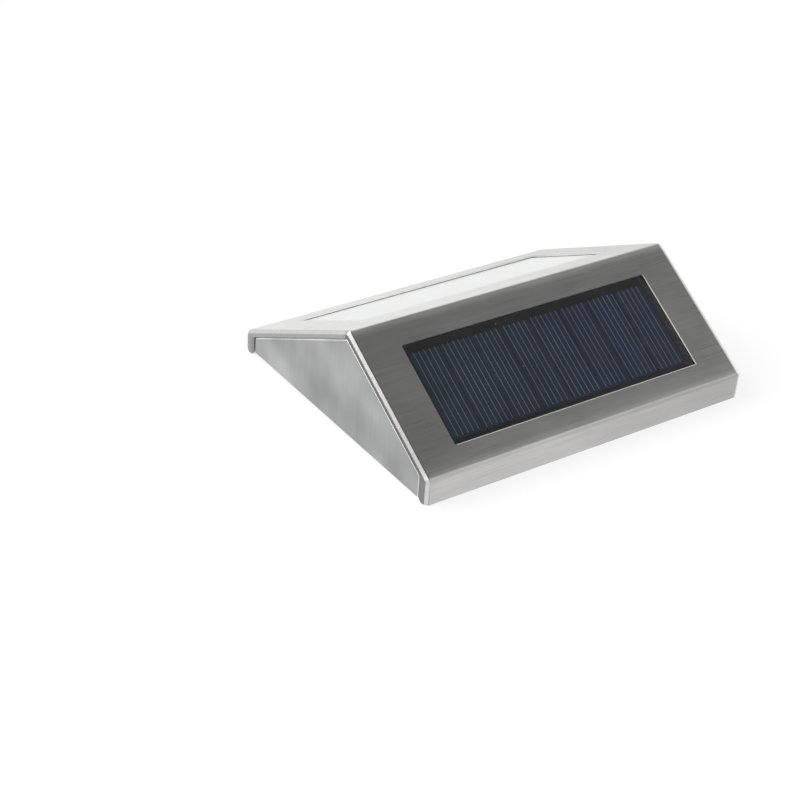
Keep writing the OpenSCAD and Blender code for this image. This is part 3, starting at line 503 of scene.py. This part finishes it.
def cover_painted_light(tree):
    """Painted reflections and painted shade in the steel's colour. The end flanges are painted darker than
    the brushed faces. The rear slope and the bend at the right end are painted brighter. The front slope is
    painted brighter towards its lip and a little darker towards its right end."""
    def tone(value, line, name):
        start, end, before, after = painted_light_fades[name]
        return fade(tree, value, (line + start) * mm, (line + end) * mm, before, after)

    def one_more(value):
        return maths(tree, "ADD", value, 1.0)

    flat = split(tree, sheet_place(tree))
    along, up = flat["X"], flat["Y"]
    outwards = maths(tree, "ABSOLUTE", along, 0.0)
    from_ridge = maths(tree, "ABSOLUTE", maths(tree, "SUBTRACT", up, over_ridge * mm), 0.0)
    flange = tone(outwards, flange_from, "flange")
    painted_flange_shade = maths(tree, "SUBTRACT", tone(up, over_ridge, "flange over the ridge"), 1.0)
    above_lip = tone(up, lip_line, "flange above the lip")
    tip = product(tree, tone(outwards, flange_from, "tip along the flange"),
                  tone(up, rear_lip_line, "tip below the rear slope"))
    ridge_end = product(tree, tone(outwards, middle_line, "ridge's end"),
                        tone(from_ridge, 0.0, "near the ridge"))
    end = product(tree, one_more(product(tree, flange, painted_flange_shade)), one_more(product(tree, flange, above_lip)),
                  one_more(tip), one_more(ridge_end))
    lip = product(tree, tone(up, lip_line, "lip"), tone(up, lip_line, "lip's foot"))
    lower = maths(tree, "ADD", tone(up, lip_line, "slope above the lip"),
                  tone(up, lip_line, "bend above the lip"))
    upper = maths(tree, "MAXIMUM", tone(up, over_ridge, "front of the ridge"),
                  tone(up, over_ridge, "rear slope"))
    right = product(tree, tone(along, middle_line, "right half"), tone(along, middle_line, "right bend"))
    left = maths(tree, "ADD", tone(along, middle_line, "left bend"), product(
        tree, tone(along, middle_line, "left bend's inner edge"),
        tone(along, middle_line, "left bend's outer edge"), tone(up, lip_line, "left bend on the lip")))
    return product(tree, end, lip, lower, upper, right, left)


# The cover's steel carries painted shade and painted reflections in its colour, set by the place on the
# unfolded sheet.
steel = brushed_metal("brushed steel", sheet_place, (0.608, 0.603, 0.597), length=16.0, width=0.24,
                      contrast=0.13, roughness=0.30, cloudy=0.10, depth=0.001, painted_light_and_shade=cover_painted_light)
cover_faces = thicken(faces, len(skins[0]))
cover = make_mesh("steel_cover", skins[0] + skins[1], cover_faces, steel, uvs + uvs)
# The punched-edge steel is paler and half metal: a painted highlight on the cut edges it is given to.
painted_highlight_steel = brushed_metal("punched edge", object_place, (0.80, 0.795, 0.78), length=3.0, width=0.3,
                          contrast=0.1, roughness=0.55, cloudy=0.1, depth=0.002, metallic=0.35)
cover.data.materials.append(painted_highlight_steel)
square_up(cover)
# The panel window's cut edges that look left or up the slope get the paler punched-edge steel, a painted
# highlight; the other cut edges keep the cover's steel.
turned_enough = 0.5
for face in list(cover.data.polygons)[2 * len(faces):]:
    if face.center.y < ridge_y * mm and (face.normal.x < -turned_enough or face.normal.y > turned_enough):
        face.material_index = 1
soften(cover, width=0.07, angle=50)
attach(cover, "light")
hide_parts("cover")

# The punch rolls the panel window's lower edge over a little. The roll is made in the paler punched-edge
# steel, a painted highlight.
roll_w, roll_top, roll_foot = 0.3, 0.28, 0.38
ends = [side * (panel_window["half"] - window_r) for side in (-1, 1)]
lower_edge = panel_window["to"]
triangle = [(lower_edge, 0.0), (lower_edge - roll_w, roll_top), (lower_edge, roll_foot)]
roll_points = [(x, *slope_point("front", down, inside)) for x in ends for down, inside in triangle]
roll = make_mesh("window_roll", roll_points, [(0, 1, 2), (5, 4, 3), (0, 3, 4, 1), (1, 4, 5, 2), (2, 5, 3, 0)],
                 painted_highlight_steel)
square_up(roll)
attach(roll, "light")

# Side plates: two shallow dishes of thin steel, with a rounded rim all round but the foot. They close the
# cover's ends, almost flush inside the end flanges, and show the satin face of the rolled sheet.
plate_recess, plate_rim_r, plate_depth, plate_gap = 0.15, 0.9, 1.85, 0.06
plate_lift_front, plate_lift_rear = 0.7, 1.6
wave_h, wave_rate, slow_wave_rate = 0.09, 0.9, 0.31


def plate_foot(y):
    return plate_lift_front + (plate_lift_rear - plate_lift_front) * (y / cover_d + 0.5)


def plate_skin(side, depth):
    """Points of a plate's outer skin, depth 0, or of its inner one, then how many there are in a column, and
    how many columns. The rim waves a little, as a drawn rim does."""
    columns = []
    r = plate_rim_r - depth
    x0 = cover_w / 2 - plate_recess - depth
    turns = [pi / 2 * step / quarter_steps for step in range(quarter_steps + 1)]
    steps = [(r * (1 - cos(turn)), depth + r * (1 - sin(turn))) for turn in turns]
    steps.append((plate_depth - depth, depth))
    for back, inset in steps:
        insets = [w + plate_gap + inset for w in flange_w]
        ends = (insets[0] - cover_d / 2, cover_d / 2 - insets[3])
        profile = ([(ends[0], plate_foot(ends[0]))]
                   + [p for i in range(3) for p in bend(i, insets, plate_rim_r)]
                   + [(ends[1], plate_foot(ends[1]))])
        wave = wave_h * sin(pi * min(back / plate_rim_r, 1))
        columns.extend((side * (x0 - back + wave * sin(y * wave_rate) * sin(y * slow_wave_rate + side)), y, z)
                       for y, z in profile)
    return columns, len(profile), len(steps)


def up_the_plate(tree):
    place = split(tree, object_place(tree))
    return add(tree, "ShaderNodeCombineXYZ", {"X": place["Z"], "Y": place["Y"], "Z": place["X"]}).outputs[0]


def plate_painted_highlight(tree):
    """A painted highlight: the drawn rim's colour is painted brighter than the flat face's."""
    face_x, rim_from, rim_to, painted_rim_gain = cover_w / 2 - plate_recess, 0.02, 0.14, 1.95
    outwards = maths(tree, "ABSOLUTE", split(tree, object_place(tree))["X"], 0.0)
    return fade(tree, outwards, (face_x - rim_to) * mm, (face_x - rim_from) * mm, painted_rim_gain, 1.0)


plate_steel = brushed_metal("rolled steel", up_the_plate, (0.475, 0.477, 0.482), length=24.0, width=0.9,
                            contrast=0.045, roughness=0.36, cloudy=0.60, depth=0.0012, painted_light_and_shade=plate_painted_highlight)
for name, side in (("left", -1), ("right", 1)):
    front_skin, rows, lanes = plate_skin(side, 0)
    rear_skin, _, _ = plate_skin(side, sheet_t)
    faces = [tuple(range(rows))]
    faces += [(a, a + rows, a + rows + 1, a + 1)
              for a in (lane * rows + row for lane in range(lanes - 1) for row in range(rows - 1))]
    plate = make_mesh(name + "_end_plate", front_skin + rear_skin, thicken(faces, len(front_skin)),
                      plate_steel)
    square_up(plate)
    soften(plate, width=0.05, angle=50)
    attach(plate, "light")
    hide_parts("side_plate_" + name)

# Solar panel: eight cells of cut silicon with printed silver fingers, laid on a dark laminate board and
# covered with clear cast resin. It is stuck behind the cover's window with a frame of black foam tape.
under_sheet, resin_t = 0.8, 0.8


def front_point(x, down, inside):
    return (x, *slope_point("front", down, inside))


def slab(place, x0, x1, down0, down1, top, bottom):
    """Corners and faces of a flat piece that lies on a slope."""
    points = [place(x, down, inside) for inside in (top, bottom) for x, down in
              ((x0, down0), (x1, down0), (x1, down1), (x0, down1))]
    return points, [(0, 1, 2, 3), (7, 6, 5, 4), (0, 4, 5, 1), (1, 5, 6, 2), (2, 6, 7, 3), (3, 7, 4, 0)]


def join(parts):
    """Points and faces of many small pieces in one mesh."""
    points, faces = [], []
    for some_points, some_faces in parts:
        faces.extend(tuple(v + len(points) for v in face) for face in some_faces)
        points.extend(some_points)
    return points, faces


def noise(tree, vector, scale, *, detail, roughness=0.5):
    return add(tree, "ShaderNodeTexNoise", {
        "Vector": vector, "Scale": scale, "Detail": detail, "Roughness": roughness}).outputs[0]


def blend_colors(tree, share, a, b):
    mix = add(tree, "ShaderNodeMix", {0: share}, data_type="RGBA")
    first, second = mix.inputs[6], mix.inputs[7]
    for socket, value in ((first, a), (second, b)):
        if isinstance(value, bpy.types.NodeSocket):
            tree.links.new(value, socket)
        else:
            socket.default_value = (*value, 1)
    return mix.outputs[2]


# Moulded and cast surfaces share a fine grain, slow drifts of tone, and a few specks of dust.
moulded, given, out = new_group("moulded grain", [
    ("Vector", "Vector", None), ("Color", "Color", (0.5, 0.5, 0.5, 1)), ("Grain", "Float", 0.4),
    ("Drift", "Float", 0.1), ("Roughness", "Float", 0.5), ("Dust", "Float", 0.0),
    ("Dust Color", "Color", (0.5, 0.5, 0.48, 1))],
    [("Color", "Color"), ("Roughness", "Float"), ("Height", "Float")])
drift_scale, fleck_scale, fleck_r, fleck_rarity = 60.0, 260.0, 0.035, 0.93
shade_gain, drift_rough, dust_rough = 2.0, 0.25, 0.3
grain_scale = maths(moulded, "DIVIDE", 1 / mm, given["Grain"])
pebbles = noise(moulded, given["Vector"], grain_scale, detail=3.0, roughness=0.6)
drift = maths(moulded, "SUBTRACT", noise(moulded, given["Vector"], drift_scale, detail=3.0), 0.5)
uneven = maths(moulded, "ADD", drift, maths(moulded, "SUBTRACT", pebbles, 0.5))
tone = maths(moulded, "MULTIPLY", uneven, given["Drift"])
shaded = add(moulded, "ShaderNodeVectorMath", {
    0: given["Color"], "Scale": maths(moulded, "ADD", maths(moulded, "MULTIPLY", tone, shade_gain), 1.0)},
    operation="SCALE").outputs[0]
flecks = add(moulded, "ShaderNodeTexVoronoi", {"Vector": given["Vector"], "Scale": fleck_scale},
             feature="F1").outputs
lone = maths(moulded, "GREATER_THAN", add(moulded, "ShaderNodeSeparateColor", {
    "Color": flecks["Color"]}).outputs[0], fleck_rarity)
fleck = maths(moulded, "MULTIPLY", maths(moulded, "LESS_THAN", flecks["Distance"], fleck_r), lone)
dust = maths(moulded, "MULTIPLY", fleck, given["Dust"])
moulded.links.new(blend_colors(moulded, dust, shaded, given["Dust Color"]), out["Color"])
rough = maths(moulded, "ADD", given["Roughness"], maths(moulded, "MULTIPLY", drift, drift_rough))
rough = maths(moulded, "ADD", rough, maths(moulded, "MULTIPLY", dust, dust_rough))
moulded.links.new(rough, out["Roughness"])
moulded.links.new(pebbles, out["Height"])


def grained(name, color, grain=0.4, drift=0.1, roughness=0.5, dust=0.0, depth=0.01, recolor=None,
            bare_metal=None, **sockets):
    """A moulded, cast or coated surface. Recolor may work the plain colour up from the place on the piece,
    and bare_metal tells where it is bare. The other sockets are the shader's own."""
    made = new_material(name)
    tree = made.node_tree
    place = object_place(tree)
    group = add(tree, "ShaderNodeGroup", {}, node_tree=moulded)
    tree.links.new(place, group.inputs["Vector"])
    for socket, value in (("Color", (*color, 1)), ("Grain", grain), ("Drift", drift),
                          ("Roughness", roughness), ("Dust", dust)):
        group.inputs[socket].default_value = value
    if recolor:
        tree.links.new(recolor(tree, place), group.inputs["Color"])
    bump = add(tree, "ShaderNodeBump", {
        "Strength": 1.0, "Distance": depth * mm, "Height": group.outputs["Height"]})
    finish = add(tree, "ShaderNodeBsdfPrincipled", {
        "Base Color": group.outputs["Color"], "Roughness": group.outputs["Roughness"],
        "Normal": bump.outputs[0]})
    if bare_metal:
        tree.links.new(bare_metal(tree, place), finish.inputs["Metallic"])
    for socket, value in sockets.items():
        finish.inputs[socket.replace("_", " ").title().replace("Ior", "IOR")].default_value = value
    add(tree, "ShaderNodeOutputMaterial", {"Surface": finish.outputs[0]})
    return made


def dress(material, *names):
    """Puts a material on whole pieces of the construction."""
    for name in names:
        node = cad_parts[name]
        if not node.material_slots:
            node.data.materials.append(material)
        for slot in node.material_slots:
            slot.material = material


dress(grained("foam tape", (0.025, 0.025, 0.026), grain=0.3, drift=0.3, roughness=0.8), "panel_tape",
      "lens_tape")

cells_end, border_from, cyan_x, violet_x, mottle_scale, mottle_share = 46.3, 46.7, -45, 20, 900.0, 0.5


def laminate_color(tree, place):
    """The board is darker among the cells than along its borders."""
    outwards = maths(tree, "ABSOLUTE", split(tree, place)["X"], 0.0)
    among_cells = fade(tree, outwards, cells_end * mm, border_from * mm, 1.0, 0.0)
    return blend_colors(tree, among_cells, (0.050, 0.050, 0.050), (0.020, 0.020, 0.022))


def silicon_color(tree, place):
    """Mottled blue, greener at the left and more violet at the right."""
    x = split(tree, place)["X"]
    across = add(tree, "ShaderNodeMapRange", {
        "Value": x, "From Min": cyan_x * mm, "From Max": violet_x * mm}).outputs["Result"]
    mottle = noise(tree, place, mottle_scale, detail=3.0, roughness=0.7)
    blue = blend_colors(tree, across, (0.030, 0.056, 0.090), (0.020, 0.038, 0.110))
    return blend_colors(tree, maths(tree, "MULTIPLY", mottle, mottle_share), blue, (0.040, 0.068, 0.130))


dress(grained("panel laminate", (0.05, 0.05, 0.05), grain=0.5, drift=0.6, roughness=0.5, dust=0.8, depth=0.02,
              recolor=laminate_color), "panel_board")
dress(grained("silicon", (0.02, 0.03, 0.05), grain=0.5, drift=0.25, roughness=0.35, recolor=silicon_color,
              depth=0.004), "solar_cells")

# Each cell's printed fingers: the first one's distance from the window's edge, and how many there are.
finger_w, finger_t, finger_from, finger_to, finger_pitch, window_edge = 0.16, 0.02, 12.2, 42.0, 1.96, -48.3
first_fingers = [(3.1, 5), (14.0, 6), (26.5, 5), (37.5, 5), (48.3, 6), (61.0, 5), (72.0, 6), (84.5, 5)]
cell_top = under_sheet + resin_t
fingers = [slab(front_point, x - finger_w / 2, x + finger_w / 2, finger_from, finger_to, cell_top - finger_t,
                cell_top)
           for start, count in first_fingers
           for x in (window_edge + start + i * finger_pitch for i in range(count))]
finger_silver = grained("finger silver", (0.40, 0.43, 0.48), grain=0.4, drift=0.5, roughness=0.5)
cell_fingers = make_mesh("cell_fingers", *join(fingers), finger_silver)
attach(cell_fingers, "light")

clear_resin = grained("clear resin", (0.93, 0.95, 0.96), grain=3.0, drift=0.02, roughness=0.03, depth=0.002,
                      transmission_weight=1.0, ior=1.5)
margin, lifted = 2.4, 0.05
resin_half = panel_window["half"] + margin
resin = make_mesh("panel_cast_resin", *slab(
    front_point, -resin_half, resin_half, panel_window["from"] - margin, panel_window["to"] + margin,
    under_sheet, cell_top - lifted), clear_resin)
square_up(resin)
soften(resin, width=0.15)
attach(resin, "light")
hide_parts("panel_resin")

speck_r, speck_t = 0.14, 0.02
specks = [slab(front_point, x - speck_r, x + speck_r, down - speck_r, down + speck_r, under_sheet - speck_t,
               under_sheet)
          for x, down in ((-13.3, 11.0), (-41.7, 35.4), (-11.8, 27.3))]
resin_specks = make_mesh("resin_specks", *join(specks),
                         grained("resin specks", (0.55, 0.54, 0.50), grain=0.1, drift=0.3, roughness=0.7))
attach(resin_specks, "light")


def soft_metal(name, color, roughness, drift=0.15, grain=0.3):
    return grained(name, color, grain=grain, drift=drift, roughness=roughness, depth=0.003, metallic=1.0)


tin = soft_metal("tinned brass", (0.68, 0.67, 0.63), 0.35)
dress(tin, "panel_tabs")

# Lamp window: a sheet of milky plastic that hides the lamps and spreads their light, stuck behind the
# cover's rear window. A white moulded tray under it holds the lamp board, with three clear lamps.
dress(grained("milky lens", (0.85, 0.862, 0.855), grain=0.5, drift=0.025, roughness=0.42, dust=0.35,
              depth=0.004, subsurface_weight=0.1, subsurface_scale=0.002), "lens")
dress(grained("white moulding", (0.84, 0.84, 0.82), grain=0.35, drift=0.03, roughness=0.4), "reflector")

# The boards' tracks: their pitch, the share of it that copper takes, and how seldom there are any.
track_pitch, track_from, track_to, track_rarity = 1.27, 0.3, 0.62, 0.54


def board_green(tree, place):
    """Green lacquer over copper tracks, which run along and across the board for a few millimetres each."""
    spot = split(tree, place)
    tracks = []
    for crosswise, patch_scale in (("Y", 150.0), ("X", 170.0)):
        lane = maths(tree, "FRACT", maths(tree, "DIVIDE", spot[crosswise], track_pitch * mm))
        here = maths(tree, "GREATER_THAN", noise(tree, place, patch_scale, detail=0.0), track_rarity)
        tracks.append(product(tree, maths(tree, "GREATER_THAN", lane, track_from),
                              maths(tree, "LESS_THAN", lane, track_to), here))
    return blend_colors(tree, maths(tree, "MAXIMUM", *tracks), (0.010, 0.085, 0.038), (0.026, 0.16, 0.07))


dress(grained("circuit lacquer", (0.012, 0.1, 0.045), grain=0.6, drift=0.1, roughness=0.3,
              recolor=board_green), "led_board", "control_board")
dress(grained("lamp epoxy", (0.93, 0.92, 0.80), grain=2.0, drift=0.02, roughness=0.12, depth=0.002,
              transmission_weight=0.6, ior=1.5), "led_left", "led_middle", "led_right")
dress(grained("chip ceramic", (0.022, 0.022, 0.024), grain=0.3, drift=0.2, roughness=0.5), "led_resistors",
      "driver_chip")

# Housing, back plate, battery case and battery door: moulded in black plastic with a fine spark grain. The
# housing holds the panel and the lens, and four screws draw the back plate up into it.
case_plastic = grained("black moulding", (0.040, 0.040, 0.043), grain=0.6, drift=0.3, roughness=0.42,
                       dust=0.25, depth=0.05)
dress(case_plastic, "housing", "back_plate", "battery_case", "battery_door")
for name in ("back_plate", "battery_door"):
    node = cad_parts[name]
    weld = node.modifiers.new("weld", "WELD")
    weld.merge_threshold = 0.001 * mm
    break_edges(node, width=0.15, angle=50)

# Seals: two rings cut from soft black rubber. One lies on the back plate under the housing's walls, the other
# on the battery door.
dress(grained("seal rubber", (0.018, 0.018, 0.019), grain=0.5, drift=0.2, roughness=0.7), "back_seal",
      "door_seal")

# Screws: pressed from steel wire and zinc plated, with cross recesses. Four hold the back plate, and two the
# control board.
dress(soft_metal("zinc plate", (0.66, 0.66, 0.65), 0.32, drift=0.2), "back_screws", "board_screws")

# Cells, contacts and springs: two small rechargeable cells in printed sleeves, sprung nickel-plated strips
# at their ends, and a wound spring at each flat end.
cell_d, cell_gap, back_recess, door_t, door_gap = 10.5, 0.25, 0.8, 1.4, 0.3
cell_axis_z = back_recess + door_t + 2 * door_gap + cell_gap + cell_d / 2
cell_step = (cell_d + cell_gap) / 2
bare_r, band_from, band_to = 4.2, 10, 16


def cell_sleeve(name, y, button):
    """Green sleeve with a pale band, shrunk over the rim, and bare metal at both ends."""
    def bare(tree, place):
        spot = split(tree, place)
        across = maths(tree, "SUBTRACT", spot["Y"], y * mm)
        upward = maths(tree, "SUBTRACT", spot["Z"], cell_axis_z * mm)
        radius = maths(tree, "SQRT", maths(tree, "ADD", product(tree, across, across),
                                           product(tree, upward, upward)))
        return maths(tree, "LESS_THAN", radius, bare_r * mm)

    def printed(tree, place):
        towards_button = product(tree, split(tree, place)["X"], button)
        band = product(tree, maths(tree, "GREATER_THAN", towards_button, band_from * mm),
                       maths(tree, "LESS_THAN", towards_button, band_to * mm))
        sleeve = blend_colors(tree, band, (0.02, 0.16, 0.07), (0.62, 0.64, 0.60))
        return blend_colors(tree, bare(tree, place), sleeve, (0.62, 0.61, 0.58))

    return grained(name, (0.02, 0.16, 0.07), grain=1.2, drift=0.05, roughness=0.3, depth=0.004,
                   recolor=printed, bare_metal=bare)


dress(cell_sleeve("front cell sleeve", ridge_y - cell_step, 1), "battery_front")
dress(cell_sleeve("rear cell sleeve", ridge_y + cell_step, -1), "battery_rear")
spring_nickel = soft_metal("nickel plate", (0.70, 0.68, 0.62), 0.25)
dress(spring_nickel, "contact_strap", "contact_plus", "contact_minus")


def tube(path, radius, sides=10):
    """A round tube along a list of points, with flat ends, turning as little as it can."""
    points, faces, side = [], [], None
    path = [Vector(p) for p in path]
    for i, p in enumerate(path):
        along = (path[min(i + 1, len(path) - 1)] - path[max(i - 1, 0)]).normalized()
        side = side or along.orthogonal()
        side = (side - along * side.dot(along)).normalized()
        up = along.cross(side)
        points.extend(tuple(p + radius * (cos(a) * side + sin(a) * up))
                      for a in (2 * pi * k / sides for k in range(sides)))
    for i in range(len(path) - 1):
        for k in range(sides):
            a, b = i * sides + k, i * sides + (k + 1) % sides
            faces.append((a, b, b + sides, a + sides))
    last = (len(path) - 1) * sides
    return points, faces + [tuple(range(sides))[::-1], tuple(range(last, last + sides))]


contact_x, spring_l, spring_wire, spring_clear = 25.0, 4.7, 0.6, 0.02
spring_turns, spring_base_r, spring_tip_r, rings_per_turn = 3.5, 3.4, 2.2, 24
spring_room = spring_wire + spring_clear
for name, side in (("right", 1), ("left", -1)):
    path = []
    for i in range(int(rings_per_turn * spring_turns) + 1):
        part = i / (rings_per_turn * spring_turns)
        r, turn = spring_base_r + (spring_tip_r - spring_base_r) * part, 2 * pi * spring_turns * part
        x = contact_x - spring_room / 2 - (spring_l - spring_room) * part
        path.append((side * x, ridge_y + side * (cell_step + r * cos(turn)), cell_axis_z + r * sin(turn)))
    spring = make_mesh("contact_spring_" + name, *tube(path, spring_wire / 2), spring_nickel)
    square_up(spring)
    spring.data.shade_smooth()
    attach(spring, "light")
    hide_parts("spring_" + name)

# Control board: a small lacquered board on two posts of the battery case. It carries the driver chip, a
# choke, a capacitor and, underneath, the slide switch, whose knob reaches through the back plate.
dress(grained("choke lacquer", (0.16, 0.30, 0.12), grain=0.6, drift=0.1, roughness=0.35), "choke")
dress(grained("capacitor sleeve", (0.02, 0.022, 0.03), grain=0.8, drift=0.1, roughness=0.3), "capacitor")
dress(tin, "switch_frame", "switch_pins")
dress(grained("pressed board", (0.23, 0.10, 0.035), grain=0.4, drift=0.4, roughness=0.6), "switch_wafer")
dress(grained("knob moulding", (0.03, 0.03, 0.032), grain=0.25, drift=0.1, roughness=0.45), "switch_knob")

# Wires: six short lengths of stranded wire in soft coloured sleeves. Each rises from its pad on the control
# board and ends on the panel's tabs, on the cells' contacts or on the lamp board.
board_x, board_w, board_d, pad_z, wire_r, wire_lift = 45.3, 24, 30, 7.57, 0.6, 6
wire_steps = 20


def wire_path(pad_share, end, leaving):
    """From a pad, given by its share of the board's width and depth, up and over to a wire's end."""
    start = Vector((board_x + pad_share[0] * board_w, ridge_y + pad_share[1] * board_d, pad_z))
    up, leaving, end = Vector((0, 0, 1)), Vector(leaving), Vector(end)
    a, d = start + 2 * wire_r * up, end + 2 * wire_r * leaving
    b, c = a + wire_lift * up, d + wire_lift * leaving
    middle = [(1 - t) ** 3 * a + 3 * (1 - t) ** 2 * t * b + 3 * (1 - t) * t * t * c + t ** 3 * d
              for t in (i / wire_steps for i in range(wire_steps + 1))]
    return [start] + middle + [end]


def rear_point(x, down, inside):
    return (x, *slope_point("rear", down, inside))


panel_mid = (panel_window["from"] + panel_window["to"]) / 2
lens_mid = (lens_window["from"] + lens_window["to"]) / 2
front_in, rear_in = (0, sin(front_slope), -cos(front_slope)), (0, -sin(rear_slope), -cos(rear_slope))
# Where the wires end: on the panel's tabs, on the contacts' tails, and on the back of the lamp board. Each
# wire has its pad's place as shares of the control board, its end, and the way it leaves there.
panel_back, tail_x, tail_z, lamp_back, straight_up = 3.22, 26.02, 15.8, 12.72, (0, 0, 1)
red_tab_x, black_tab_x, white_share, black_share = 39.5, 43.9, -0.38, -0.26
wires = [("panel_wire_red", (-0.24, -0.4), front_point(red_tab_x, panel_mid, panel_back), front_in),
         ("panel_wire_black", (-0.06, -0.4), front_point(black_tab_x, panel_mid, panel_back), front_in),
         ("battery_wire_red", (-0.42, -0.18), (tail_x, ridge_y - cell_step, tail_z), straight_up),
         ("battery_wire_black", (-0.42, 0.08), (tail_x, ridge_y + cell_step, tail_z), straight_up)]
wires += [(name, (share, 0.42), rear_point(board_x + share * board_w, lens_mid, lamp_back), rear_in)
          for name, share in (("lamp_wire_white", white_share), ("lamp_wire_black", black_share))]
tints = {"red": (0.42, 0.02, 0.015), "black": (0.02, 0.02, 0.02), "white": (0.75, 0.75, 0.72)}
sleeves = {tint: grained(tint + " wire sleeve", color, grain=0.8, drift=0.08, roughness=0.4)
           for tint, color in tints.items()}
for name, pad_share, end, leaving in wires:
    tint = name.split("_")[-1]
    wire = make_mesh(name + "_lead", *tube(wire_path(pad_share, end, leaving), wire_r), sleeves[tint])
    square_up(wire)
    wire.data.shade_smooth()
    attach(wire, "light")
    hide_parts(name)
